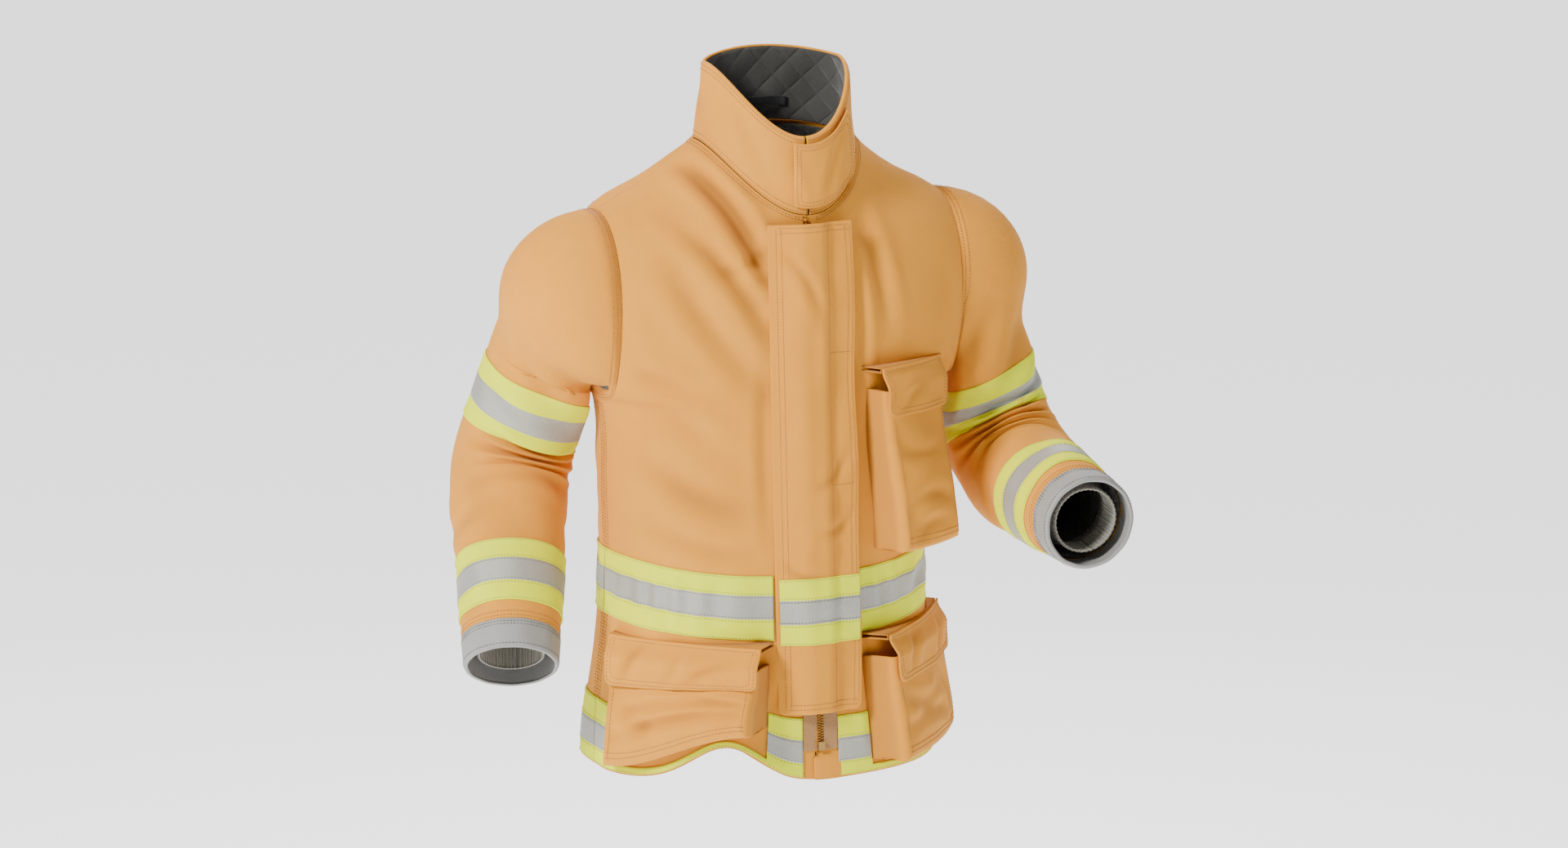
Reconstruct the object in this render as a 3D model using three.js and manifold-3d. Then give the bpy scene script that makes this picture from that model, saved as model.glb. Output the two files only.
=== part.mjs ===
// A firefighter's turnout coat in the shape that it holds on a wearer, in millimetres.
// +Z is up, the wearer faces -Y, and the wearer's left is +X. The origin is the middle of the neck,
// level with the side of the collar seam, where the coat hangs from the wearer's shoulders.
import * as THREE from "three";
import { mergeVertices } from "three/addons/utils/BufferGeometryUtils.js";
import Module from "manifold-3d";

const wasm = await Module();
wasm.setup();

// ---------------------------------------------------------------- driving dimensions

const HEM_Z = -715; // bottom edge of the coat
const WAIST_Z = -500; // narrowest level
const CHEST_Z = -300; // level just under the armholes
const HEM_HALF_WIDTH = 215;
const WAIST_HALF_WIDTH = 199;
const CHEST_HALF_WIDTH = 203;
const ARMHOLE_X = 207; // both armholes lie in planes at this distance from the middle
const SHOULDER_BULGE = 40; // how far the body would run on past the armhole plane
const SHOULDER_Z = -72; // top of the armhole
const NECK_HALF_WIDTH = 89;
const COLLAR_HEIGHT = 88;

const SHELL = 3; // outer shell, quilted together with its stiffening
const LINER = 3; // moisture barrier and thermal lining together
const LINER_GAP = 0.95; // between shell and liner
const SEAM_GAP = 0.6; // between two panels that are sewn edge to edge
const SEWN_ON = 0.7; // between the shell and what is sewn on its outside
const TRIM = 1.5; // thickness of the reflective trim
const TRIM_WIDTH = 76;
const TRIM_ABOVE_HEM = 2;
const WAIST_TRIM_FOOT = -538;
const CLOTH = 3; // flaps, tabs and pocket walls
const LINER_ABOVE_HEM = 60;

const CLOSURE_TOP = { y: -124, z: -78 }; // top of the straight front closure line
const CLOSURE_SLOPE = 0.0597; // how far it runs forwards for each millimetre down
const FLAP_ABOVE_HEM = 77;
const FLAP_LENGTH = CLOSURE_TOP.z - HEM_Z - FLAP_ABOVE_HEM;
const FLAP_HALF_WIDTH = 50;
const FLAP_RISE = 12; // clear height under the flap over the zip
const ZIP_ABOVE_HEM = 41;
const ZIP_LENGTH = CLOSURE_TOP.z - HEM_Z - ZIP_ABOVE_HEM;
const TAPE_WIDTH = 17;
const TOOTH_WIDTH = 2.8;
const STRIP_WIDTH = 24; // hook and loop fastening strips

// Pockets: `facing` is the angle from straight ahead that the pocket faces, `bow` how much its face
// curves back towards its edges, `depth` and `mouth` how far it stands out at its foot and its top.
const POCKET_ABOVE_HEM = 15;
const HIP_HEIGHT = 148;
const HIP_TOP = HEM_Z + POCKET_ABOVE_HEM + HIP_HEIGHT;
const HIP_POCKET = { width: 180, height: HIP_HEIGHT, depth: 30, mouth: 8, facing: 45, from: 150, bow: 8, top: HIP_TOP, flap: 56 };
const LEFT_HIP_POCKET = { ...HIP_POCKET, depth: 24, facing: 50, from: 146 };
const CHEST_HEIGHT = 210;
const CHEST_ABOVE_TRIM = 5; // between the waist trim and the foot of the chest pocket
const CHEST_TOP = WAIST_TRIM_FOOT + TRIM_WIDTH + CHEST_ABOVE_TRIM + CHEST_HEIGHT;
const CHEST_POCKET = { width: 104, height: CHEST_HEIGHT, depth: 33, mouth: 6, facing: 31, from: 122, bow: 5, top: CHEST_TOP, flap: 56 };
const THIGH = { x: -110, reach: 50, lift: 50, push: 18 }; // the raised right thigh under the hem
const POCKET_RISE = 50; // how much the thigh lifts the near end of the right hip pocket's foot
const FLAP_OVERHANG = 4; // how far a pocket's flap is wider than the pocket, on each side
const MOUTH_BELOW_FLAP = 27; // the pocket's top edge is this far below the flap's
const FLAP_SEAM = 6; // height of the strip that joins a flap's top edge to the shell
const FLAP_SEAM_DEPTH = 2.3; // how far the strip stands off the shell where it is thinnest

// Where the wearer's joints put the sleeves. `side` is +1 for the wearer's left and -1 for the right.
const ARMS = {
  right: { side: -1, shoulder: [-190, 20, -100], elbow: [-280, 100, -372], wrist: [-335, -60, -575] },
  left: { side: 1, shoulder: [190, 0, -105], elbow: [295, 0, -400], wrist: [285, -265, -420] },
};
const ARMHOLE_CENTRE = { y: 5, z: -178 };
const SLEEVE_RADIUS = { upper: 72, elbow: 67, forearm: 61, end: 53 };
const ELBOW_FILLET = 95; // radius that the sleeve's middle line turns at the elbow
const ELBOW_REACH = 98; // the soft elbow runs this far each way from the elbow's axis
const CAP_END = 128; // the shoulder cap ends this far above the elbow's axis
const CUFF_LENGTH = 34;
const UPPER_TRIM_FROM_ELBOW = 34;
const LOWER_TRIM_FROM_END = 56;
const WRISTLET = { length: 70, radius: 38, wall: 2.5, inset: 14 };

const AROUND_BODY = 36; // facets around the body
const AROUND_SLEEVE = 16;

// ---------------------------------------------------------------- small helpers

const V = (x, y, z) => new THREE.Vector3(x, y, z);
const mix = (a, b, k) => a + (b - a) * k;
const clamp01 = (k) => Math.min(1, Math.max(0, k));
const ease = (k) => clamp01(k) ** 2 * (3 - 2 * clamp01(k));
const steps = (from, to, n) => Array.from({ length: n + 1 }, (_, i) => mix(from, to, i / n));

// A smooth curve through evenly spaced values, read at position t.
function through(values, t) {
  const last = values.length - 1;
  const i = Math.min(last - 1, Math.max(0, Math.floor(t)));
  const k = Math.min(last, Math.max(0, t)) - i;
  const at = (j) => values[Math.min(last, Math.max(0, j))];
  const [a, b, c, d] = [at(i - 1), at(i), at(i + 1), at(i + 2)];
  return b + 0.5 * k * (c - a + k * (2 * a - 5 * b + 4 * c - d + k * (3 * (b - c) + d - a)));
}

// A closed geometry from vertices and faces; the faces are turned round if they point inwards.
function closed(vertices, faces) {
  let volume = 0;
  for (const [a, b, c] of faces) volume += vertices[a].dot(vertices[b].clone().cross(vertices[c]));
  const index = faces.flatMap(([a, b, c]) => (volume < 0 ? [a, c, b] : [a, b, c]));
  return new THREE.BufferGeometry().setFromPoints(vertices).setIndex(index);
}

// A thick patch: point(u, v, offset) from inner(u, v) to outer(u, v), over the lists us and vs.
// With ring true the patch closes on itself around u.
function patch(point, us, vs, inner, outer, ring = false) {
  const nu = us.length;
  const nv = vs.length;
  const vertices = [];
  for (const depth of [inner, outer]) for (const v of vs) for (const u of us) vertices.push(point(u, v, depth(u, v)));
  const id = (layer, i, j) => layer * nu * nv + j * nu + (i % nu);
  const faces = [];
  const quad = (a, b, c, d) => faces.push([a, b, c], [a, c, d]);
  const across = ring ? nu : nu - 1;
  for (let i = 0; i < across; i++) {
    for (let j = 0; j < nv - 1; j++) {
      quad(id(1, i, j), id(1, i + 1, j), id(1, i + 1, j + 1), id(1, i, j + 1));
      quad(id(0, i, j), id(0, i, j + 1), id(0, i + 1, j + 1), id(0, i + 1, j));
    }
    quad(id(0, i, 0), id(0, i + 1, 0), id(1, i + 1, 0), id(1, i, 0));
    quad(id(1, i, nv - 1), id(1, i + 1, nv - 1), id(0, i + 1, nv - 1), id(0, i, nv - 1));
  }
  if (!ring) {
    for (let j = 0; j < nv - 1; j++) {
      quad(id(0, 0, j), id(1, 0, j), id(1, 0, j + 1), id(0, 0, j + 1));
      quad(id(1, nu - 1, j), id(0, nu - 1, j), id(0, nu - 1, j + 1), id(1, nu - 1, j + 1));
    }
  }
  return closed(vertices, faces);
}

function solidOf(geometry) {
  const bare = geometry.clone();
  bare.deleteAttribute("normal");
  bare.deleteAttribute("uv");
  const merged = mergeVertices(bare, 1e-3);
  return new wasm.Manifold(
    new wasm.Mesh({
      numProp: 3,
      vertProperties: merged.attributes.position.array,
      triVerts: new Uint32Array(merged.index.array),
    }),
  );
}

function geometryOf(solid) {
  const mesh = solid.getMesh();
  const positions = new Float32Array(mesh.numVert * 3);
  for (let i = 0; i < mesh.numVert; i++) {
    positions.set(mesh.vertProperties.subarray(i * mesh.numProp, i * mesh.numProp + 3), i * 3);
  }
  return new THREE.BufferGeometry()
    .setAttribute("position", new THREE.BufferAttribute(positions, 3))
    .setIndex(new THREE.BufferAttribute(mesh.triVerts, 1));
}

// An axis-aligned block between two corners; a missing bound reaches past the whole coat.
function block({ x = [-900, 900], y = [-900, 900], z = [-900, 900] }) {
  const size = [x, y, z].map(([low, high]) => high - low);
  const middle = [x, y, z].map(([low, high]) => (low + high) / 2);
  return solidOf(new THREE.BoxGeometry(...size).translate(...middle));
}

// ---------------------------------------------------------------- the body's surface

const closureY = (z) => CLOSURE_TOP.y + (z - CLOSURE_TOP.z) * CLOSURE_SLOPE;
const midWaist = (WAIST_Z + CHEST_Z) / 2;
const hipZ = mix(HEM_Z, WAIST_Z, 0.45);
const bulge = ARMHOLE_X + SHOULDER_BULGE;

// Levels from the hem to the neck: half width, depth of the back, the heights at side, front and
// back, the depth of the front, how square the plan is (2 is an ellipse), and how much narrower the
// wearer's left half is, where the body turns away from it.
const onClosure = (level) => ({ ...level, deep: -closureY(level.front) });
const flat = (z, droop = 0) => ({ side: z, front: z - droop, rear: z });
const LEVELS = [
  onClosure({ wide: HEM_HALF_WIDTH, back: 160, ...flat(HEM_Z), square: 2.2, left: 0.9 }),
  onClosure({ wide: mix(HEM_HALF_WIDTH, WAIST_HALF_WIDTH, 0.4), back: 152, ...flat(hipZ, 8), square: 2.2, left: 0.9 }),
  onClosure({ wide: WAIST_HALF_WIDTH, back: 134, ...flat(WAIST_Z, 16), square: 2.2, left: 0.91 }),
  onClosure({ wide: WAIST_HALF_WIDTH, back: 138, ...flat(midWaist, 14), square: 2.2, left: 0.93 }),
  onClosure({ wide: CHEST_HALF_WIDTH, back: 146, ...flat(CHEST_Z, 8), square: 2.2, left: 0.95 }),
  onClosure({ wide: ARMHOLE_X + 14, back: 148, ...flat(CHEST_Z + 28), square: 2.2, left: 0.99 }),
  onClosure({ wide: bulge - 8, back: 149, side: -222, front: -228, rear: -222, square: 2.25, left: 1 }),
  onClosure({ wide: bulge, back: 145, side: -160, front: -182, rear: -165, square: 2.3, left: 1 }),
  onClosure({ wide: bulge - 9, back: 138, side: -112, front: -148, rear: -118, square: 2.25, left: 1 }),
  onClosure({ wide: ARMHOLE_X, back: 122, side: SHOULDER_Z, front: -122, rear: -76, square: 2.15, left: 1 }),
  onClosure({ wide: 150, back: 100, side: -42, front: -104, rear: -38, square: 2.1, left: 1 }),
  onClosure({ wide: 113, back: 72, side: -16, front: -88, rear: -8, square: 2.05, left: 1 }),
  onClosure({ wide: NECK_HALF_WIDTH, back: 46, side: 2, front: -72, rear: 12, square: 2, left: 1.08 }),
];
const NECK_T = LEVELS.length - 1;
const levelAt = (key, t) => through(LEVELS.map((level) => level[key]), t);

// The raised thigh lifts the right front hem and pushes it forwards.
function overThigh(p) {
  const reach = p.y < 0 ? ease((WAIST_Z - 30 - p.z) / (WAIST_Z - HEM_Z)) : 0;
  const lift = reach * Math.exp(-(((p.x - THIGH.x) / THIGH.reach) ** 2));
  const out = V(p.x * 0.4, p.y, 0).normalize();
  p.addScaledVector(out, THIGH.push * lift * ease((-p.x - 50) / 40));
  p.z += THIGH.lift * lift;
  return p;
}

function bodyOnSurface(theta, t) {
  const c = Math.cos(theta);
  const s = Math.sin(theta);
  const power = 2 / levelAt("square", t);
  const across = Math.abs(s);
  const ahead = s < 0;
  const wide = levelAt("wide", t) * (c > 0 ? levelAt("left", t) : 1);
  const x = wide * Math.sign(c) * Math.abs(c) ** power;
  const y = (ahead ? -levelAt("deep", t) : levelAt("back", t)) * across ** power;
  const side = levelAt("side", t);
  const z = mix(side, levelAt(ahead ? "front" : "rear", t), across ** 2);
  return overThigh(V(x, y, z));
}

// The body is faceted, and everything sewn on it follows the facets, so the layers stay even.
const bodyAngles = steps(0, 2 * Math.PI, AROUND_BODY).slice(0, -1);
const linerFoot = levelOf(HEM_Z + LINER_ABOVE_HEM);
const bodyLevels = [0, linerFoot, ...[1, 2, 3, 4, 4.6, 5.2, 5.8, 6.4, 7, 7.6, 8.2, 8.8, 9.4, 10, 11, NECK_T].filter((t) => t > linerFoot + 0.1)];

const facets = bodyLevels.map((t) =>
  bodyAngles.map((theta) => {
    const e = 0.02;
    const high = Math.min(NECK_T, t + e);
    const around = bodyOnSurface(theta + e, t).sub(bodyOnSurface(theta - e, t));
    const upwards = bodyOnSurface(theta, high).sub(bodyOnSurface(theta, high - 2 * e));
    return { corner: bodyOnSurface(theta, t), normal: around.cross(upwards).normalize() };
  }),
);

// Point of the body at plan angle theta (0 is the wearer's left, -90 degrees the front) and level t,
// moved outwards by offset.
function bodyPoint(theta, t, offset = 0) {
  const turn = ((theta / (2 * Math.PI)) % 1) + 1;
  const across = turn * AROUND_BODY;
  const i = Math.floor(across + 1e-9);
  const j = Math.min(bodyLevels.length - 2, Math.max(0, bodyLevels.findLastIndex((level) => level <= t + 1e-9)));
  const at = (di, dj) => {
    const { corner, normal } = facets[j + dj][(i + di) % AROUND_BODY];
    return corner.clone().addScaledVector(normal, offset);
  };
  const k = across - i;
  const up = (t - bodyLevels[j]) / (bodyLevels[j + 1] - bodyLevels[j]);
  return at(0, 0).lerp(at(1, 0), k).lerp(at(0, 1).lerp(at(1, 1), k), up);
}

// The list's own steps between two values, with both values at the ends.
const span = (list, from, to) => [from, ...list.filter((x) => x > from + 0.02 && x < to - 0.02), to];

// The level whose side height is z.
function levelOf(z) {
  let low = 0;
  let high = NECK_T;
  for (let i = 0; i < 40; i++) {
    const mid = (low + high) / 2;
    if (levelAt("side", mid) < z) low = mid;
    else high = mid;
  }
  return (low + high) / 2;
}

// ---------------------------------------------------------------- materials

const material = (color, roughness, metalness = 0) => new THREE.MeshStandardMaterial({ color, roughness, metalness });
const TAN = material(0xd9a066, 0.85);
const LIME = material(0xd6de00, 0.6);
const GREY = material(0x8d8b84, 0.8);
const LINING = material(0x3b3a36, 0.9);
const BLACK = material(0x1b1b1d, 0.8);
const KNIT = material(0x6f6a5c, 0.95);
const BRASS = material(0xb08d4a, 0.35, 1);

const coat = new THREE.Group();
function add(name, geometry, finish) {
  const mesh = new THREE.Mesh(geometry, finish);
  mesh.name = name;
  coat.add(mesh);
  return mesh;
}

// ---------------------------------------------------------------- shell, liner and collar

// The armholes are cut at a plane; below the chest the side seams are left whole.
const belowChest = block({ z: [-900, CHEST_Z] });
const insideArmholes = block({ x: [-ARMHOLE_X, ARMHOLE_X] }).add(belowChest);
const half = SEAM_GAP / 2;
const zipGap = TOOTH_WIDTH + 1.2;

function bodyShell() {
  const tube = solidOf(patch(bodyPoint, bodyAngles, bodyLevels, () => -SHELL, () => 0, true)).intersect(insideArmholes);
  const front = tube.intersect(block({ y: [-900, -half] }));
  add("back_panel", geometryOf(tube.intersect(block({ y: [half, 900] }))), TAN);
  add("front_panel_right", geometryOf(front.intersect(block({ x: [-900, -zipGap] }))), TAN);
  add("front_panel_left", geometryOf(front.intersect(block({ x: [zipGap, 900] }))), TAN);
}

function bodyLiner() {
  const outer = -SHELL - LINER_GAP;
  const levels = span(bodyLevels, linerFoot, NECK_T - 0.12);
  const tube = patch(bodyPoint, bodyAngles, levels, () => outer - LINER, () => outer, true);
  const open = block({ x: [-16, 16], y: [-900, 0] });
  const inside = block({ x: [2 - ARMHOLE_X, ARMHOLE_X - 2] }).add(belowChest);
  add("body_liner", geometryOf(solidOf(tube).intersect(inside).subtract(open)), LINING);
}

// Point of the stand collar at plan angle theta and height h above its seam.
function collarPoint(theta, h, offset) {
  const base = bodyOnSurface(theta, NECK_T);
  const lean = mix(1, 0.9, clamp01(h / COLLAR_HEIGHT));
  const out = V(Math.cos(theta), Math.sin(theta), 0);
  const middle = -40;
  return V(base.x * lean, middle + (base.y - middle) * lean, base.z + h).addScaledVector(out, offset);
}

const TAB = { from: -16, to: 60, low: 8, high: 80, lift: 2.4 };
const COLLAR_SPLIT = 2; // half the gap between the collar's two ends

function collar() {
  const heights = [SEAM_GAP, COLLAR_HEIGHT * 0.5, COLLAR_HEIGHT];
  const split = block({ x: [-COLLAR_SPLIT, COLLAR_SPLIT], y: [-900, 0] });
  const ring = (inner, outer, levels) =>
    geometryOf(solidOf(patch(collarPoint, bodyAngles, levels, () => inner, () => outer, true)).subtract(split));
  add("collar_shell", ring(-2.5, 0, heights), TAN);
  add("collar_lining", ring(-5.5, -3.1, [1, COLLAR_HEIGHT * 0.5, COLLAR_HEIGHT - 1]), LINING);
  const angleAt = (x) => -Math.acos(x / (NECK_HALF_WIDTH * 0.95));
  const band = (name, from, to, low, high, lift, thick, finish) => {
    const angles = steps(angleAt(from), angleAt(to), to - from > 40 ? 6 : 2);
    add(name, patch(collarPoint, angles, [low, (low + high) / 2, high], () => lift, () => lift + thick), finish);
  };
  band("throat_tab", TAB.from, TAB.to, TAB.low, TAB.high, TAB.lift, CLOTH, TAN);
  band("throat_tab_loop_strip", TAB.to - 26, TAB.to - 4, TAB.low + 8, TAB.high - 8, 0.5, 1.3, BLACK);
}

// The strap that the coat is hung up by, sewn inside the back of the collar at both its ends.
function hangerLoop() {
  const half = 0.42;
  const bow = (u) => 6.2 + 8 * Math.cos(((u - Math.PI / 2) / half) * (Math.PI / 2)) ** 2;
  const angles = steps(Math.PI / 2 - half, Math.PI / 2 + half, 8);
  add("hanger_loop", patch(collarPoint, angles, [18, 29], (u) => -bow(u) - 2, (u) => -bow(u)), BLACK);
}

const shellSpace = bodyMass(0.3); // what is sewn on the shell keeps clear of this

// ---------------------------------------------------------------- reflective trim on the body

function bodyTrim(prefix, zLow, zHigh, cutters = []) {
  const levels = span(bodyLevels, levelOf(zLow), levelOf(zHigh));
  let band = solidOf(patch(bodyPoint, bodyAngles, levels, () => 0, () => SEWN_ON + TRIM, true)).subtract(shellSpace);
  for (const cutter of cutters) band = band.subtract(cutter);
  const front = band.intersect(block({ y: [-900, -half] }));
  add(prefix + "_back", geometryOf(band.intersect(block({ y: [half, 900] }))), LIME);
  add(prefix + "_right", geometryOf(front.intersect(block({ x: [-900, -FLAP_HALF_WIDTH - 2] }))), LIME);
  add(prefix + "_left", geometryOf(front.intersect(block({ x: [FLAP_HALF_WIDTH + 2, 900] }))), LIME);
}

// ---------------------------------------------------------------- front closure

// The closure's own frame: x across, d outwards from the shell, s downwards along the closure line.
const slope = Math.atan(CLOSURE_SLOPE);
const outwards = V(0, -Math.cos(slope), Math.sin(slope));
const downwards = V(0, -Math.sin(slope), -Math.cos(slope));
const closureFrame = new THREE.Matrix4()
  .makeBasis(V(1, 0, 0), outwards, downwards)
  .setPosition(0, CLOSURE_TOP.y, CLOSURE_TOP.z);

// An outline of [x, d] points run along the closure from s0 to s1.
function strip(outline, s0, s1) {
  const shape = new THREE.Shape(outline.map(([x, d]) => new THREE.Vector2(x, d)));
  return new THREE.ExtrudeGeometry(shape, { depth: s1 - s0, bevelEnabled: false })
    .translate(0, 0, s0)
    .applyMatrix4(closureFrame);
}
const bar = (x0, x1, d0, d1, s0, s1) => strip([[x0, d0], [x1, d0], [x1, d1], [x0, d1]], s0, s1);

const toothTop = SEWN_ON + 2.2;
const sliderTop = toothTop + 3;

function zip() {
  const tapeFrom = TOOTH_WIDTH + 0.8;
  const s0 = 8;
  const s1 = s0 + ZIP_LENGTH;
  add("zipper_tape_right", bar(-tapeFrom - TAPE_WIDTH, -tapeFrom, SEWN_ON, SEWN_ON + 1.2, s0, s1), BLACK);
  add("zipper_tape_left", bar(tapeFrom, tapeFrom + TAPE_WIDTH, SEWN_ON, SEWN_ON + 1.2, s0, s1), BLACK);
  add("zipper_teeth_right", bar(-TOOTH_WIDTH - 0.3, -0.3, SEWN_ON - 0.4, toothTop, s0, s1), BRASS);
  add("zipper_teeth_left", bar(0.3, TOOTH_WIDTH + 0.3, SEWN_ON - 0.4, toothTop, s0, s1), BRASS);
  add("zipper_bottom_stop", bar(-4, 4, toothTop + 0.3, toothTop + 2.5, s1 - 10, s1), BRASS);
  const body = strip([[-6, 0], [-4, 2.6], [4, 2.6], [6, 0]].map(([x, d]) => [x, d + toothTop + 0.4]), 12, 30);
  add("zipper_slider", body, BRASS);
  const pullShape = new THREE.Shape([[-4, 0], [4, 0], [5, 30], [3, 36], [-3, 36], [-5, 30]].map((p) => new THREE.Vector2(...p)));
  const eye = new THREE.Path().absarc(0, 28, 2.4, 0, 2 * Math.PI, true);
  pullShape.holes.push(eye);
  const pull = new THREE.ExtrudeGeometry(pullShape, { depth: 1.8, bevelEnabled: false, curveSegments: 4 });
  // The pull hangs from the slider's lower end, flat over the teeth.
  const hang = new THREE.Matrix4().makeBasis(V(1, 0, 0), downwards, outwards.clone().negate());
  const start = V(0, CLOSURE_TOP.y, CLOSURE_TOP.z).addScaledVector(downwards, 20).addScaledVector(outwards, sliderTop + 2.2);
  add("zipper_pull", pull.applyMatrix4(hang.setPosition(start)), BRASS);
}

function stormFlap() {
  const w = FLAP_HALF_WIDTH;
  const over = FLAP_RISE;
  const stripEdge = w - 4 - STRIP_WIDTH;
  const under = 3.4;
  const outline = [
    [-w, -4], [6 - w, -4], [8 - w, 1.4], [-15, over], [12, over], [stripEdge - 1, under], [w, under],
    [w, under + CLOTH], [stripEdge, under + CLOTH], [14, over + CLOTH], [-17, over + CLOTH], [-w, 1.4],
  ];
  add("storm_flap", geometryOf(solidOf(strip(outline, 2, FLAP_LENGTH)).subtract(shellSpace)), TAN);
  add("flap_hook_strip", bar(stripEdge, w - 4, 1.3, under - 0.3, 14, FLAP_LENGTH - 14), BLACK);
  const loop = solidOf(bar(stripEdge, w - 4, -3, 1, 14, FLAP_LENGTH - 14)).subtract(shellSpace);
  add("flap_loop_strip", geometryOf(loop), BLACK);
}

// ---------------------------------------------------------------- pockets

// A pocket's own frame: across, out and up, from the middle of its flap's top edge on the shell.
// `side` is +1 for the wearer's left.
function pocketFrame(side, { facing, from, top, width, height }) {
  const turn = THREE.MathUtils.degToRad(facing);
  const out = V(side * Math.sin(turn), -Math.cos(turn), 0);
  const across = V(-out.y, out.x, 0);
  const frontAt = (z) => steps(-Math.PI / 2, side > 0 ? 0 : -Math.PI, 300).map((a) => bodyPoint(a, levelOf(z), FLAP_SEAM_DEPTH));
  const front = frontAt(top);
  const middle = front.reduce((best, p) => (Math.abs(p.x - side * from) < Math.abs(best.x - side * from) ? p : best));
  const near = (p) => Math.abs(p.clone().sub(middle).dot(across)) < width / 2 + FLAP_OVERHANG;
  const behind = [top, top + 15, top + 40].flatMap(frontAt).filter(near);
  const reach = Math.max(...behind.map((p) => p.dot(out)));
  const origin = out.clone().multiplyScalar(reach).addScaledVector(across, middle.dot(across));
  const rise = side < 0 ? POCKET_RISE : 0;
  return (a, o, h) => {
    const lifted = h + rise * ease((a + width / 2) / width) * ease((-h - 20) / (height - 20));
    return origin.clone().addScaledVector(across, a).addScaledVector(out, o).setZ(top + lifted);
  };
}

// A block in a pocket's frame: from the body out to a face that bows back towards its edges.
function pocketBlock(side, size, { halfWidth, low, high, inset = 0, thin = 0 }) {
  const place = pocketFrame(side, size);
  const half = size.width / 2;
  const face = (a, h) => pocketFace(size, a, h) - inset;
  const back = thin ? (a, h) => face(a, h) - thin : () => -75;
  const point = (a, h, o) => place(a, o, h);
  const across = span(steps(-half, half, 8), -halfWidth, halfWidth);
  return patch(point, across, span(steps(-size.height, -MOUTH_BELOW_FLAP, 4), low, high), back, face);
}

// A curve read off straight steps between n of its points.
function faceted(curve, n) {
  return (k) => {
    const i = Math.min(n - 1, Math.floor(clamp01(k) * n));
    return mix(curve(i / n), curve((i + 1) / n), clamp01(k) * n - i);
  };
}

function pocketFace(size, a, h) {
  const down = faceted(ease, 4)((-h - MOUTH_BELOW_FLAP) / (size.height - MOUTH_BELOW_FLAP));
  const bow = faceted((k) => (2 * k - 1) ** 2, 8)(a / size.width + 0.5);
  return mix(size.mouth, size.depth, down) - size.bow * bow;
}

// All of the space inside the shell's outer surface.
function bodyMass(offset) {
  const n = AROUND_BODY;
  const rings = bodyLevels.map((t) => bodyAngles.map((theta) => bodyPoint(theta, t, offset)));
  const [foot, neck] = [rings[0], rings.at(-1)].map((ring) => ring.reduce((sum, p) => sum.add(p), V(0, 0, 0)).divideScalar(n));
  const vertices = [...rings.flat(), foot, neck];
  const faces = [];
  for (let i = 0; i < n; i++) {
    const k = (i + 1) % n;
    for (let j = 0; j < rings.length - 1; j++) {
      const [a, b, c, d] = [j * n + i, j * n + k, (j + 1) * n + k, (j + 1) * n + i];
      faces.push([a, b, c], [a, c, d]);
    }
    const last = (rings.length - 1) * n;
    faces.push([vertices.length - 2, k, i], [vertices.length - 1, last + i, last + k]);
  }
  return solidOf(closed(vertices, faces));
}

// The side of the coat that a pocket is on, clear of the storm flap.
const besideFlap = (side) => block({ x: side > 0 ? [FLAP_HALF_WIDTH + 1, 900] : [-900, -FLAP_HALF_WIDTH - 1] });

// A bellows pocket: a face, two sides and a foot that are sewn to the shell, open at the top.
function pocket(name, side, size) {
  const w = size.width / 2;
  const outer = { halfWidth: w, low: -size.height, high: -MOUTH_BELOW_FLAP };
  const inner = { halfWidth: w - CLOTH, low: CLOTH - size.height, high: 20, inset: CLOTH };
  const body = solidOf(pocketBlock(side, size, outer)).subtract(solidOf(pocketBlock(side, size, inner)));
  add(name, geometryOf(body.subtract(shellSpace).intersect(besideFlap(side))), TAN);
  const fastener = { halfWidth: w - 22, low: 8 - size.flap, high: 26 - size.flap, inset: -1.8, thin: 1.2 };
  add(name + "_loop_strip", pocketBlock(side, size, fastener), BLACK);
}

// A pocket's flap lies over the pocket's face; its top edge bends on a strip that is sewn to the shell.
function pocketFlap(name, side, size) {
  const w = size.width / 2;
  const frame = pocketFrame(side, size);
  const place = (a, h, o) => frame(a, o, h);
  const across = steps(-w - FLAP_OVERHANG, w + FLAP_OVERHANG, 8);
  const bend = (a) => -size.bow * (a / w) ** 2;
  const seam = patch(place, across, [-FLAP_SEAM, 0], () => -60, (a) => bend(a) - 0.3);
  add(name + "_seam", geometryOf(solidOf(seam).subtract(shellSpace).intersect(besideFlap(side))), TAN);
  const root = (h) => ease((-h - 4) / (MOUTH_BELOW_FLAP - 5));
  const lie = (a, h) => mix(0.4 + bend(a), pocketFace(size, a, h) + 2.8, root(h));
  const levels = [-size.flap, -size.flap * 0.75, -MOUTH_BELOW_FLAP, -18, -10, -4, 0];
  const flap = patch(place, across, levels, lie, (a, h) => lie(a, h) + CLOTH);
  add(name, geometryOf(solidOf(flap).subtract(shellSpace).intersect(besideFlap(side))), TAN);
}

function pocketSpace(side, size) {
  const around = { halfWidth: size.width / 2 + 1, low: -size.height - 1, high: -MOUTH_BELOW_FLAP + 1, inset: -8 };
  return solidOf(pocketBlock(side, size, around));
}

// The space of a pocket's flap and seam at the shell, with a margin around it.
function seamSpace(side, size) {
  const frame = pocketFrame(side, size);
  const half = size.width / 2 + FLAP_OVERHANG + 1;
  return solidOf(patch((a, h, o) => frame(a, o, h), [-half, 0, half], [-size.flap, 1], () => -60, () => size.mouth + 9));
}

const HIPS = { right: [-1, HIP_POCKET], left: [1, LEFT_HIP_POCKET] };

function pockets() {
  for (const [name, [side, size]] of Object.entries(HIPS)) {
    pocket("hip_pocket_" + name, side, size);
    pocketFlap("hip_pocket_flap_" + name, side, size);
  }
  pocket("chest_pocket", 1, CHEST_POCKET);
  pocketFlap("chest_pocket_flap", 1, CHEST_POCKET);
}

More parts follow.
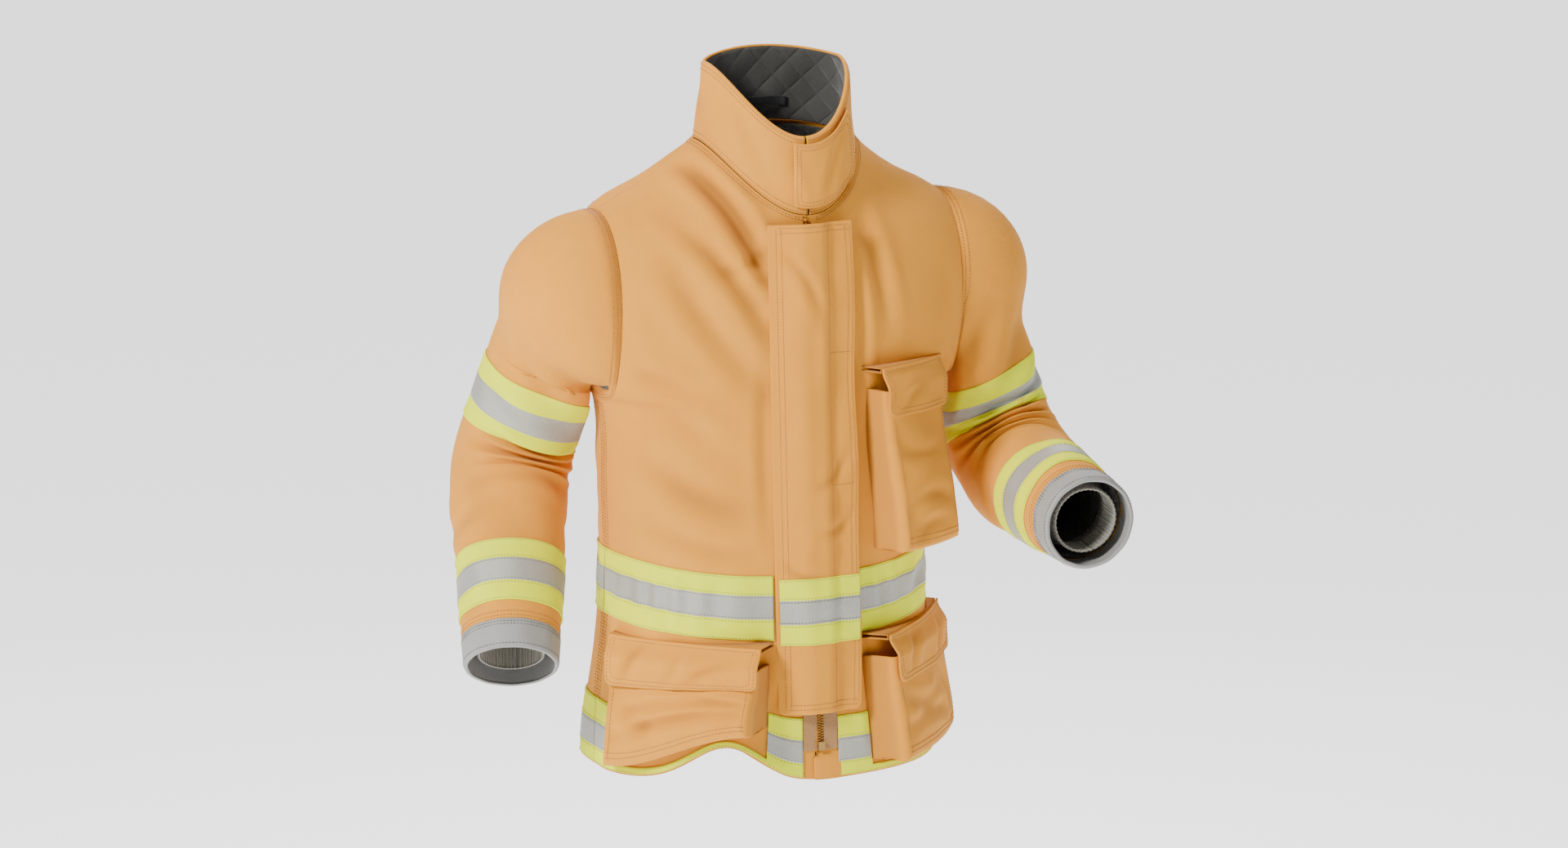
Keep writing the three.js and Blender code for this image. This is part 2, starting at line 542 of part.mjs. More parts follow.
// ---------------------------------------------------------------- sleeves

// The edge of the armhole: distance from its centre in the direction phi, where 0 is towards the
// back and a quarter turn is up.
function armholeEdge() {
  const points = [];
  for (const t of steps(4, NECK_T, 400)) {
    const wide = levelAt("wide", t);
    if (wide < ARMHOLE_X) continue;
    const theta = Math.acos((ARMHOLE_X / wide) ** (levelAt("square", t) / 2));
    for (const sign of [-1, 1]) {
      const p = bodyOnSurface(sign * theta, t);
      const [dy, dz] = [p.y - ARMHOLE_CENTRE.y, p.z - ARMHOLE_CENTRE.z];
      points.push({ phi: Math.atan2(dz, dy), r: Math.hypot(dy, dz) });
    }
  }
  points.sort((a, b) => a.phi - b.phi);
  return (phi) => {
    const wrapped = Math.atan2(Math.sin(phi), Math.cos(phi));
    const i = points.findIndex((p) => p.phi > wrapped);
    const b = points[Math.max(0, i)];
    const a = points[(Math.max(0, i) + points.length - 1) % points.length];
    const span = b.phi - a.phi;
    return span > 0 && i > 0 ? mix(a.r, b.r, (wrapped - a.phi) / span) : b.r;
  };
}
const edgeRadius = armholeEdge();

// The sleeve's middle line: out of the armhole, down the upper arm, round the elbow and to the cuff.
function sleeveLine(arm) {
  const [shoulder, elbow, wrist] = [arm.shoulder, arm.elbow, arm.wrist].map((p) => V(...p));
  const upper = elbow.clone().sub(shoulder).normalize();
  const fore = wrist.clone().sub(elbow).normalize();
  const bend = upper.angleTo(fore);
  const tangent = ELBOW_FILLET * Math.tan(bend / 2);
  const start = V(arm.side * (ARMHOLE_X + SEAM_GAP), ARMHOLE_CENTRE.y, ARMHOLE_CENTRE.z);
  const cap = elbow.clone().addScaledVector(upper, -CAP_END);
  const reach = start.distanceTo(cap) * 0.36;
  const into = elbow.clone().addScaledVector(upper, -tangent);
  const out = elbow.clone().addScaledVector(fore, tangent);
  const centre = upper.clone().add(fore.clone().negate()).normalize().negate();
  centre.multiplyScalar(ELBOW_FILLET / Math.cos(bend / 2)).add(elbow);
  const path = new THREE.CurvePath();
  const first = new THREE.CubicBezierCurve3(
    start, start.clone().add(V(arm.side * reach * 0.62, 0, 0)), cap.clone().addScaledVector(upper, -reach), cap,
  );
  path.add(first);
  path.add(new THREE.LineCurve3(cap, into));
  const arc = new THREE.CatmullRomCurve3(
    steps(0, 1, 8).map((k) => {
      const axis = upper.clone().cross(fore).normalize();
      return into.clone().sub(centre).applyAxisAngle(axis, bend * k).add(centre);
    }),
  );
  path.add(arc);
  path.add(new THREE.LineCurve3(out, wrist));
  const lengths = path.getCurveLengths();
  const middle = (lengths[1] + lengths[2]) / 2;
  const round = (middle - lengths[1]) / tangent; // the arc's length for each millimetre of corner
  // Distances along the line at d millimetres above and below the elbow's corner.
  const above = (d) => (d > tangent ? lengths[1] + tangent - d : middle - d * round);
  const below = (d) => (d > tangent ? lengths[2] - tangent + d : middle + d * round);
  return { path, end: lengths[3], cap: lengths[0], above, below };
}

// Frames along the middle line that turn as little as they can.
function sleeveFrames(arm, line) {
  const count = 160;
  const frames = [];
  let forward = V(arm.side, 0, 0);
  let back = V(0, 1, 0);
  for (let i = 0; i <= count; i++) {
    const s = (line.end * i) / count;
    const point = pointAlong(line, s);
    const ahead = i === 0 ? V(arm.side, 0, 0) : pointAlong(line, Math.min(line.end, s + 1)).sub(pointAlong(line, Math.max(0, s - 1))).normalize();
    const turn = new THREE.Quaternion().setFromUnitVectors(forward, ahead);
    back = back.clone().applyQuaternion(turn);
    back.addScaledVector(ahead, -back.dot(ahead)).normalize();
    forward = ahead;
    frames.push({ point, ahead, back, up: V(0, 0, 0).crossVectors(ahead, back).multiplyScalar(arm.side) });
  }
  return (s) => {
    const at = Math.min(count, Math.max(0, (s / line.end) * count));
    const i = Math.min(count - 1, Math.floor(at));
    const [a, b] = [frames[i], frames[i + 1]];
    const blend = (key) => a[key].clone().lerp(b[key], at - i);
    return { point: blend("point"), ahead: blend("ahead").normalize(), back: blend("back").normalize(), up: blend("up").normalize() };
  };
}

// CurvePath reads shares of its whole length, which keeps the distance along it true.
function pointAlong(line, s) {
  return line.path.getPoint(Math.min(1, Math.max(0, s / line.end)));
}

function sleeveSurface(arm) {
  const line = sleeveLine(arm);
  const frameAt = sleeveFrames(arm, line);
  const stations = [line.cap, line.above(ELBOW_REACH * 0.6), line.below(ELBOW_REACH * 0.6), line.below(ELBOW_REACH + 40), line.end];
  const radii = [SLEEVE_RADIUS.upper, SLEEVE_RADIUS.elbow, SLEEVE_RADIUS.elbow, SLEEVE_RADIUS.forearm, SLEEVE_RADIUS.end];
  const radiusAt = (s) => {
    const i = stations.findIndex((x) => x > s);
    if (i === 0) return radii[0];
    if (i < 0) return radii.at(-1);
    return mix(radii[i - 1], radii[i], (s - stations[i - 1]) / (stations[i] - stations[i - 1]));
  };
  const point = (phi, s, offset) => {
    const frame = frameAt(s);
    const r = mix(edgeRadius(phi), radiusAt(s), ease((1.25 * s) / line.cap)) + offset;
    const p = frame.point.clone();
    p.addScaledVector(frame.back, r * Math.cos(phi)).addScaledVector(frame.up, r * Math.sin(phi));
    const wall = ARMHOLE_X + SEAM_GAP + (4 - offset) * ease(s / 14);
    p.x = arm.side * Math.max(wall, arm.side * p.x);
    return p;
  };
  return { line, point, radiusAt };
}

const sleeveAngles = (n) => steps(0, 2 * Math.PI, n).slice(0, -1);

function sleeve(name, arm) {
  const { line, point, radiusAt } = sleeveSurface(arm);
  const upperEnd = line.above(ELBOW_REACH);
  const lowerStart = line.below(ELBOW_REACH);
  const cuffStart = line.end - CUFF_LENGTH;
  const trimEnd = line.above(UPPER_TRIM_FROM_ELBOW);
  const trimStart = trimEnd - TRIM_WIDTH;
  // All layers are faceted alike, so that the gaps between them stay even.
  const stations = [
    ...steps(0, trimStart, 6), upperEnd, ...steps(upperEnd, trimEnd, 3).slice(1), ...steps(trimEnd, lowerStart, 4).slice(1),
    ...steps(lowerStart, cuffStart, 2).slice(1), line.end,
  ];
  const tube = (part, from, to, inner, outer, finish) => {
    const ring = patch(point, sleeveAngles(AROUND_SLEEVE), span(stations, from, to), () => inner, () => outer, true);
    add(part + "_" + name, ring, finish);
  };
  tube("upper_sleeve", 0, upperEnd, -SHELL, 0, TAN);
  tube("elbow_sleeve", upperEnd + SEAM_GAP, lowerStart - SEAM_GAP, -SHELL, 0, TAN);
  tube("lower_sleeve", lowerStart, cuffStart - SEAM_GAP, -SHELL, 0, TAN);
  tube("cuff", cuffStart, line.end, -SHELL, 0, GREY);
  tube("upper_trim", trimStart, trimEnd, SEWN_ON, SEWN_ON + TRIM, LIME);
  const cuffTrimEnd = line.end - LOWER_TRIM_FROM_END;
  tube("lower_trim", cuffTrimEnd - TRIM_WIDTH, cuffTrimEnd, SEWN_ON, SEWN_ON + TRIM, LIME);
  const outer = -SHELL - LINER_GAP;
  tube("upper_liner", 0, upperEnd, outer - LINER, outer, LINING);
  tube("elbow_liner", upperEnd + SEAM_GAP, lowerStart - SEAM_GAP, outer - LINER, outer, LINING);
  tube("lower_liner", lowerStart, cuffStart, outer - LINER, outer, LINING);
  // The wristlet starts inside the liner and closes on the wrist inside the cuff.
  const mouth = line.end - WRISTLET.inset;
  const start = mouth - WRISTLET.length;
  const hug = (s) => mix(outer - LINER - SEAM_GAP, WRISTLET.radius - radiusAt(s), ease((s - start) / (WRISTLET.length * 0.6)));
  const ribs = steps(start, mouth, 4);
  const knit = patch(point, sleeveAngles(AROUND_SLEEVE), ribs, (u, s) => hug(s) - WRISTLET.wall, (u, s) => hug(s), true);
  add("wristlet_" + name, knit, KNIT);
}

// ---------------------------------------------------------------- drag handle

const DRAG = { top: 8.3, bottom: 7.2, halfAngle: 0.27 };
function dragHandle() {
  const angles = (half) => span(bodyAngles, Math.PI / 2 - half, Math.PI / 2 + half);
  const handle = patch(bodyPoint, angles(DRAG.halfAngle * 0.8), span(bodyLevels, DRAG.bottom + 0.25, DRAG.top - 0.25), () => SEWN_ON, () => SEWN_ON + 3);
  add("drag_handle", handle, BLACK);
  const over = patch(bodyPoint, angles(DRAG.halfAngle), span(bodyLevels, DRAG.bottom, DRAG.top), () => SEWN_ON + 3.8, () => SEWN_ON + 3.8 + CLOTH);
  add("drag_handle_flap", over, TAN);
}

bodyShell();
bodyLiner();
collar();
hangerLoop();
const seamSpaces = Object.values(HIPS).map(([side, size]) => seamSpace(side, size));
bodyTrim("waist_trim", WAIST_TRIM_FOOT, WAIST_TRIM_FOOT + TRIM_WIDTH, seamSpaces);
const hipSpaces = Object.values(HIPS).map(([side, size]) => pocketSpace(side, size));
bodyTrim("hem_trim", HEM_Z + TRIM_ABOVE_HEM, HEM_Z + TRIM_ABOVE_HEM + TRIM_WIDTH, hipSpaces);
zip();
stormFlap();
pockets();
for (const [name, arm] of Object.entries(ARMS)) sleeve(name, arm);
dragHandle();

export default coat;
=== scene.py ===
"""Looks of the turnout coat: cloth panels, sleeves, pockets, trims, closure and stitching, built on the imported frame."""
import math

import bmesh
import bpy
import numpy as np
from mathutils import Matrix, Vector
from mathutils.bvhtree import BVHTree


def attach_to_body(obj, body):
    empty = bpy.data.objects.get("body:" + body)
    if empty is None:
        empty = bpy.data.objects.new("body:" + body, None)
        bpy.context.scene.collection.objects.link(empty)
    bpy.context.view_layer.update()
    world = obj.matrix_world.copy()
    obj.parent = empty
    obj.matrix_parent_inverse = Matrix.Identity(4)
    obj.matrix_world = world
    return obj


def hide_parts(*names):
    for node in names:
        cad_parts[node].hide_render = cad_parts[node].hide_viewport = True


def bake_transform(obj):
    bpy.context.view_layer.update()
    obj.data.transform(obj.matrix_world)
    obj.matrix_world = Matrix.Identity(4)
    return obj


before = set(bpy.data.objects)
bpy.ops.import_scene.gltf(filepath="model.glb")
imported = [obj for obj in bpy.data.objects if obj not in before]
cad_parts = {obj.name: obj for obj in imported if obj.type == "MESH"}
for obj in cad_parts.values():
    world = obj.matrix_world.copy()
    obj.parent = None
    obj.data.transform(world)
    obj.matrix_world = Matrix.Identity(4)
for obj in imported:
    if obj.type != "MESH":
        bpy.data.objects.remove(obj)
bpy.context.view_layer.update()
bpy.ops.object.select_all(action="DESELECT")
TAU = 2 * math.pi
dice = np.random.RandomState(11)


def mix(a, b, k):
    return a + (b - a) * k


def ease(k):
    k = np.clip(k, 0.0, 1.0)
    return k * k * (3 - 2 * k)


def unit(v):
    return v / np.maximum(1e-9, np.linalg.norm(v, axis=-1, keepdims=True))


# ------------------------------------------------------------------ camera, light and floor

middle = Vector((0.0, -0.05, -0.325))
right, up = Vector((0.927, -0.375, 0.0)).normalized(), Vector((0.078, 0.193, 0.978)).normalized()
away = right.cross(up).normalized()
eye = bpy.data.cameras.new("camera")
eye.lens, eye.clip_end = 131, 60
camera = bpy.data.objects.new("camera", eye)
camera.matrix_world = Matrix.Translation(middle + away * 6.5) @ Matrix((
    right, away.cross(right), away
)).transposed().to_4x4()
bpy.context.scene.collection.objects.link(camera)
bpy.context.scene.camera = camera


def lamp(name, place, size, watts, tint=(1, 1, 1)):
    light = bpy.data.lights.new(name, "AREA")
    light.shape, light.size, light.energy, light.color = "SQUARE", size, watts, tint
    thing = bpy.data.objects.new(name, light)
    thing.matrix_world = Matrix.Translation(place) @ (middle - Vector(place)).to_track_quat("-Z", "Y").to_matrix().to_4x4()
    bpy.context.scene.collection.objects.link(thing)


lamp("key_light", (-3.6, -1.6, 2.3), 0.9, 370, (1, 0.985, 0.955))
lamp("fill_light", (3.4, -2.8, 0.7), 2.6, 16, (0.95, 0.98, 1))
lamp("top_light", (0.6, 0.4, 3.2), 1.8, 80)
lamp("back_light", (1.6, 3.4, 1.4), 2.2, 90)

# ------------------------------------------------------------------ finishes


class Value:
    """A number that varies over a surface; arithmetic on it adds Math nodes."""

    def __init__(self, finish, socket):
        self.finish, self.socket = finish, socket

    def sum(self, operation, *others):
        return self.finish.math(operation, self, *others)

    def __add__(self, other):
        return self.sum("ADD", other)

    def __mul__(self, other):
        return self.sum("MULTIPLY", other)

    def __sub__(self, other):
        return self.sum("SUBTRACT", other)

    def __rsub__(self, other):
        return self.finish.math("SUBTRACT", other, self)

    def __gt__(self, other):
        return self.sum("GREATER_THAN", other)

    __radd__, __rmul__ = __add__, __mul__


class Finish:
    """One material, made of nodes."""

    def __init__(self, name, roughness=0.8, metallic=0.0, sheen=0.0):
        self.material = bpy.data.materials.new(name)
        self.material.use_nodes = True
        self.tree = self.material.node_tree
        self.shader = self.tree.nodes["Principled BSDF"]
        for key, value in (
            ("Roughness", roughness), ("Metallic", metallic), ("Sheen Weight", sheen), ("Sheen Roughness", 0.5)
        ):
            self.shader.inputs[key].default_value = value

    def node(self, kind, settings=None, **inputs):
        made = self.tree.nodes.new(kind)
        for key, value in (settings or {}).items():
            setattr(made, key, value)
        for key, value in inputs.items():
            socket = made.inputs[int(key[1:])] if key[0] == "_" and key[1:].isdigit() else made.inputs[key.replace("_", " ")]
            self.feed(socket, value)
        return made

    def feed(self, socket, value):
        if isinstance(value, Value):
            self.tree.links.new(value.socket, socket)
        elif isinstance(value, bpy.types.NodeSocket):
            self.tree.links.new(value, socket)
        else:
            socket.default_value = value

    def math(self, operation, *values):
        made = self.node("ShaderNodeMath", {"operation": operation}, **{f"_{i}": v for i, v in enumerate(values)})
        return Value(self, made.outputs[0])

    def blend(self, share, first, second):
        made = self.node("ShaderNodeMix", {"data_type": "RGBA"})
        for index, value in ((0, share), (6, first), (7, second)):
            self.feed(made.inputs[index], value)
        return made.outputs[2]

    def noise(self, scale, detail=2.0, rough=0.5):
        place = self.node("ShaderNodeTexCoord").outputs["Object"]
        made = self.node("ShaderNodeTexNoise", None, Vector=place, Scale=scale, Detail=detail, Roughness=rough)
        return Value(self, made.outputs["Fac"])

    def cloth_place(self):
        """Distances along and across the cloth, in metres."""
        made = self.node("ShaderNodeUVMap", {"uv_map": "cut"})
        parts = self.node("ShaderNodeSeparateXYZ", None, Vector=made.outputs[0])
        return made.outputs[0], Value(self, parts.outputs[0]), Value(self, parts.outputs[1])

    def attribute(self, name):
        return Value(self, self.node("ShaderNodeAttribute", {"attribute_name": name}).outputs["Fac"])

    def colour(self, value):
        self.feed(self.shader.inputs["Base Color"], value)
        return self

    def set(self, key, value):
        self.feed(self.shader.inputs[key], value)
        return self

    def bump(self, height, strength, distance):
        made = self.node("ShaderNodeBump", None, Strength=strength, Distance=distance, Height=height)
        self.feed(self.shader.inputs["Normal"], made.outputs[0])
        return self


def wave(finish, along, pitch):
    return finish.math("SINE", along * (TAU / pitch))


def weave(finish, pitch):
    """Height of a fine twill: threads that pass over and under with a diagonal step."""
    _, across, along = finish.cloth_place()
    warp, weft = wave(finish, across, pitch), wave(finish, along, pitch)
    twill = wave(finish, across + along, pitch * 3)
    return warp * 0.35 + weft * 0.35 + twill * 0.3


def shell_cloth():
    made = Finish("shell_cloth", 0.84, 0, 0.05)
    made.shader.inputs["Specular IOR Level"].default_value = 0.18
    fold = made.attribute("wear")
    blotch, grain, speck = made.noise(7, 4), made.noise(46, 5, rough=0.65), made.noise(900, 2)
    base = made.blend(blotch, (0.660, 0.245, 0.012, 1), (0.780, 0.325, 0.022, 1))
    base = made.blend(made.math("MULTIPLY", grain, 0.42), base, (0.520, 0.196, 0.016, 1))
    # Painted crease shade, plus wear at rubbed edges: the per-vertex attribute takes the cloth towards deep brown in
    # its folds.
    base = made.blend(fold * 2.1, base, (0.260, 0.088, 0.010, 1))
    _, across, along = made.cloth_place()
    threads = (wave(made, across + along, 0.0024) * 0.5 + 0.5) * speck
    base = made.blend(threads * 0.20, base, (0.82, 0.42, 0.08, 1))
    made.colour(base)
    made.set("Roughness", 0.78 + grain * 0.16)
    return made.bump(weave(made, 0.0008) * 0.35 + grain * 0.9 + blotch * 1.2, 0.55, 0.0006).material


def trim_tape():
    """Lime tape with a raised silver band along its middle."""
    made = Finish("reflective_trim", 0.6)
    # Painted glow: a faint lime emission makes the tape shine brighter than its lighting.
    made.shader.inputs["Emission Strength"].default_value = 0.03
    made.shader.inputs["Specular IOR Level"].default_value = 0.15
    band = made.attribute("band")
    grain, blotch = made.noise(260, 3), made.noise(24, 4)
    _, across, along = made.cloth_place()
    lime = made.blend(blotch, (0.66, 0.74, 0.0, 1), (0.76, 0.82, 0.0, 1))
    # Painted crease shade on the tape where it folds, from the per-vertex attribute.
    lime = made.blend(made.attribute("wear"), lime, (0.40, 0.44, 0.01, 1))
    beads = wave(made, across + along, 0.0017) * wave(made, across - along, 0.0017)
    silver = made.blend(grain, (0.335, 0.335, 0.295, 1), (0.43, 0.43, 0.385, 1))
    silver = made.blend(blotch * 0.35, silver, (0.27, 0.265, 0.235, 1))
    shiny = band > 0.5
    made.colour(made.blend(shiny, lime, silver))
    # Lime emission off the silver band: a painted glow.
    made.feed(made.shader.inputs["Emission Color"], made.blend(shiny, lime, (0, 0, 0, 1)))
    made.set("Metallic", shiny * 0.35)
    made.set("Roughness", 0.62 - shiny * 0.16 + grain * 0.08)
    return made.bump(weave(made, 0.0009) * (1 - shiny) + shiny * beads * 0.5 + grain * 0.5, 0.5, 0.00035).material


def plain_cloth(name, dark, light, pitch, roughness=0.85, sheen=0.15, relief=0.0005, quilt=0.0):
    made = Finish(name, roughness, 0, sheen)
    blotch, grain = made.noise(18, 4), made.noise(240, 3)
    base = made.blend(blotch, dark, light)
    # Painted crease shade and edge wear from the per-vertex attribute, mixed with random grain, darken the cloth.
    made.colour(made.blend(made.attribute("wear") + grain * 0.18, base, tuple(c * 0.55 for c in dark[:3]) + (1,)))
    made.set("Roughness", roughness - 0.06 + grain * 0.12)
    height = weave(made, pitch) + grain * 0.5
    if quilt:
        _, across, along = made.cloth_place()
        lines = made.math(
            "ABSOLUTE", wave(made, across + along, quilt)
        ) * made.math("ABSOLUTE", wave(made, across - along, quilt))
        height = height * 0.25 + made.math("POWER", lines, 0.4) * 3.0
        return made.bump(height, 0.8, 0.0012).material
    return made.bump(height, 0.6, relief).material


def knit():
    made = Finish("wristlet_knit", 0.93, 0, 0.35)
    _, across, along = made.cloth_place()
    ribs = made.math("ABSOLUTE", wave(made, across, 0.0056))
    loops = made.math("ABSOLUTE", wave(made, along + ribs * 0.0008, 0.0026))
    blotch = made.noise(60, 3)
    # Painted shade: the yarn is darker in the grooves between ribs and loops, where the surface is low.
    base = made.blend(ribs * 0.7 + loops * 0.3, (0.10, 0.090, 0.068, 1), (0.36, 0.33, 0.26, 1))
    made.colour(made.blend(blotch * 0.3, base, (0.2, 0.18, 0.14, 1)))
    return made.bump(ribs + loops * 0.4, 0.9, 0.0012).material


def cuff_leather():
    made = Finish("cuff_hide", 0.62)
    cells = made.node(
        "ShaderNodeTexVoronoi", None, Vector=made.node("ShaderNodeTexCoord").outputs["Object"], Scale=620.0
    )
    grain, blotch = Value(made, cells.outputs["Distance"]), made.noise(26, 5)
    base = made.blend(blotch, (0.215, 0.215, 0.205, 1), (0.315, 0.310, 0.295, 1))
    # Painted crease shade from the per-vertex attribute, with an even extra darkening, darkens the cuff.
    made.colour(made.blend(made.attribute("wear"), base, (0.12, 0.12, 0.115, 1)))
    made.set("Roughness", 0.56 + blotch * 0.2)
    return made.bump(grain + blotch * 0.8, 0.5, 0.0005).material


def hook_pile(name, tone):
    made = Finish(name, 0.95, 0, 0.3)
    pile = made.noise(1500, 2)
    made.colour(made.blend(pile, tuple(c * 0.5 for c in tone) + (1,), tone + (1,)))
    return made.bump(pile, 0.9, 0.0012).material


def zip_brass():
    made = Finish("zip_brass", 0.34, 1.0)
    scuff, fine = made.noise(55, 4), made.noise(900, 3)
    base = made.blend(scuff, (0.36, 0.205, 0.055, 1), (0.50, 0.31, 0.10, 1))
    made.colour(made.blend(made.math("MULTIPLY", fine, 0.3), base, (0.22, 0.14, 0.06, 1)))
    made.set("Roughness", 0.36 + scuff * 0.24)
    return made.bump(fine, 0.3, 0.0002).material


SHELL = shell_cloth()
TRIM = trim_tape()
WEBBING = plain_cloth("tan_webbing", (0.30, 0.145, 0.045, 1), (0.40, 0.20, 0.065, 1), 0.0016, 0.75, 0.1, 0.0006)
LINING = plain_cloth("quilted_lining", (0.030, 0.030, 0.026, 1), (0.062, 0.060, 0.052, 1), 0.0011, 0.9, 0.2, quilt=0.07)
BINDING = plain_cloth("black_webbing", (0.010, 0.010, 0.011, 1), (0.022, 0.022, 0.024, 1), 0.0016, 0.75, 0.1, 0.0006)
CUFF = cuff_leather()
KNIT = knit()
HOOKS = hook_pile("hook_strip", (0.05, 0.045, 0.04))
LOOPS = hook_pile("loop_strip", (0.07, 0.062, 0.052))
BRASS = zip_brass()
THREAD = plain_cloth("shell_thread", (0.40, 0.152, 0.022, 1), (0.52, 0.215, 0.036, 1), 0.0009, 0.7, 0.1)
LIME_THREAD = plain_cloth("trim_thread", (0.42, 0.45, 0.03, 1), (0.55, 0.58, 0.06, 1), 0.0009, 0.7, 0.1)
GREY_THREAD = plain_cloth("cuff_thread", (0.10, 0.10, 0.095, 1), (0.16, 0.16, 0.15, 1), 0.0009, 0.7, 0.1)

floor_finish = Finish("floor_paper", 0.95)
floor_finish.shader.inputs["Emission Color"].default_value = (1, 1, 1, 1)
floor_finish.shader.inputs["Emission Strength"].default_value = 1.7
floor_finish.colour(floor_finish.blend(floor_finish.noise(2, 2), (0.90, 0.90, 0.90, 1), (0.915, 0.915, 0.915, 1)))
bpy.ops.mesh.primitive_plane_add(size=120, location=(0, 0, -1.75))
floor = bpy.context.object
floor.name = "floor"
bpy.ops.object.transform_apply(location=True, rotation=True, scale=True)
floor.data.materials.append(floor_finish.material)
world = bpy.data.worlds.new("studio")
bpy.context.scene.world = world
world.use_nodes = True
world.node_tree.nodes["Background"].inputs[0].default_value = (0.93, 0.935, 0.94, 1)
world.node_tree.nodes["Background"].inputs[1].default_value = 0.26

# ------------------------------------------------------------------ mesh makers


def rework(piece, change):
    """Runs a change on a piece's mesh."""
    work = bmesh.new()
    work.from_mesh(piece.data)
    change(work)
    work.to_mesh(piece.data)
    work.free()
    return piece


def face_outwards(work):
    bmesh.ops.recalc_face_normals(work, faces=work.faces[:])


def mesh_piece(name, points, faces, material, slot, uv=None, wear=None, band=None, smooth=True):
    name = name + "_cloth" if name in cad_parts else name
    mesh = bpy.data.meshes.new(name)
    mesh.from_pydata(points.tolist(), [], faces)
    if smooth:
        mesh.polygons.foreach_set("use_smooth", [True] * len(mesh.polygons))
    corners = np.zeros(len(mesh.loops), dtype=np.int32)
    mesh.loops.foreach_get("vertex_index", corners)
    layer = mesh.uv_layers.new(name="cut")
    flat = (uv if uv is not None else points[:, [0, 2]])[corners]
    layer.data.foreach_set("uv", np.ascontiguousarray(flat, dtype=np.float32).ravel())
    # The per-vertex darkening attribute holds painted shade in folds and under flaps, plus real wear along rubbed
    # edges.
    for key, values in (("wear", wear), ("band", band)):
        if values is not None:
            mesh.attributes.new(key, "FLOAT", "POINT").data.foreach_set("value", np.asarray(values, dtype=np.float32))
    piece = bpy.data.objects.new(name, mesh)
    bpy.context.scene.collection.objects.link(piece)
    mesh.materials.append(material)
    return piece


def quads(nu, nv, ring=False, start=0, turn=False):
    faces = []
    for i in range(nu if ring else nu - 1):
        k = (i + 1) % nu
        for j in range(nv - 1):
            face = (start + i * nv + j, start + k * nv + j, start + k * nv + j + 1, start + i * nv + j + 1)
            faces.append(face[::-1] if turn else face)
    return faces


def arc_lengths(points):
    """Distances along both ways of a grid, in metres, averaged over it."""
    du = np.r_[0, np.cumsum(np.linalg.norm(np.diff(points, axis=0), axis=2).mean(1))]
    dv = np.r_[0, np.cumsum(np.linalg.norm(np.diff(points, axis=1), axis=2).mean(0))]
    return np.stack(np.meshgrid(du, dv, indexing="ij"), -1)


def normals_of(points, ring=False):
    if ring:
        du = np.roll(points, -1, 0) - np.roll(points, 1, 0)
    else:
        du = np.gradient(points, axis=0)
    return unit(np.cross(du, np.gradient(points, axis=1)))


def grid_piece(name, points, material, slot, wear, band=None, ring=False, turn=False):
    """A surface on a grid of points, with its distances along the grid as the flat pattern."""
    shape = points.shape[:2]
    values = [None if v is None else np.broadcast_to(v, shape).ravel() for v in (wear, band)]
    return mesh_piece(
        name, points.reshape(-1, 3), quads(*shape, ring, turn=turn), material, slot, arc_lengths(points).reshape(-1, 2),
        *values
    )


def attach(piece, body, node=None):
    """Hangs a piece on the empty of the body it rides on, and hides the solid that it stands for."""
    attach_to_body(piece, body)
    if node:
        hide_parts(node)
    return piece


def sheet_piece(name, points, thick, material, slot, ring=False, wear=None, band=None, turn=False):
    """One layer of cloth: its outer face on the grid and its thickness inwards."""
    return thicken(grid_piece(name, points, material, slot, wear, band, ring, turn), thick)


def declare(piece, points):
    """Measures a piece's flat size and area from its grid, and keeps none of it."""
    width = np.linalg.norm(np.diff(points, axis=0), axis=2).sum(0).max()
    length = np.linalg.norm(np.diff(points, axis=1), axis=2).sum(1).max()
    area = sum(face.area for face in piece.data.polygons) / 2
    float(np.clip(area, 0.3 * width * length, width * length))


def apply_modifiers(piece):
    bpy.ops.object.select_all(action="DESELECT")
    piece.select_set(True)
    bpy.context.view_layer.objects.active = piece
    for modifier in list(piece.modifiers):
        bpy.ops.object.modifier_apply(modifier=modifier.name)
    piece.select_set(False)
    return piece


def thicken(piece, thick):
    wall = piece.modifiers.new("wall", "SOLIDIFY")
    wall.thickness, wall.offset, wall.use_even_offset = thick, -1, False
    return apply_modifiers(piece)


def cut_off(piece, place, normal, above=None):
    """Removes what lies on the normal's side of a plane, or only the part of it above a height."""
    def change(work):
        faces = [f for f in work.faces if above is None or f.calc_center_median().z > above]
        edges = {e for f in faces for e in f.edges}
        verts = {v for f in faces for v in f.verts}
        bmesh.ops.bisect_plane(
            work, geom=[*verts, *edges, *faces], dist=1e-6, plane_co=place, plane_no=normal, clear_outer=True
        )

    return rework(piece, change)


def edged(low, high, count, edge):
    """Even steps between two values with close ones at both ends, and how far each is into the cloth."""
    inner = np.linspace(low + edge, high - edge, count)
    near = edge * np.array([0, 0.08, 0.3, 0.6])
    values = np.r_[low + near, inner, (high - near)[::-1]]
    depth = np.minimum(values - low, high - values) / edge
    return values, np.sqrt(np.clip(1 - (1 - np.clip(depth, 0, 1)) ** 2, 0, 1))


def slab(name, points, normals, thick, rim, material, slot, wear=None, band=None):
    """A stiff layered cloth piece with rounded edges: rim is 0 at its border and 1 inside."""
    nu, nv = points.shape[:2]
    half = (thick / 2 * rim)[..., None]
    outer, inner = points + normals * half, points - normals * half
    both = np.concatenate([outer.reshape(-1, 3), inner.reshape(-1, 3)])
    faces = quads(nu, nv) + quads(nu, nv, start=nu * nv, turn=True)
    flat = arc_lengths(points).reshape(-1, 2)
    twice = lambda v: None if v is None else np.tile(np.broadcast_to(v, (nu, nv)).ravel(), 2)
    piece = mesh_piece(name, both, faces, material, slot, np.concatenate([flat, flat]), twice(wear), twice(band))

    def change(work):
        bmesh.ops.remove_doubles(work, verts=work.verts[:], dist=2e-5)
        face_outwards(work)

    return rework(piece, change)


stitch_rows = {}


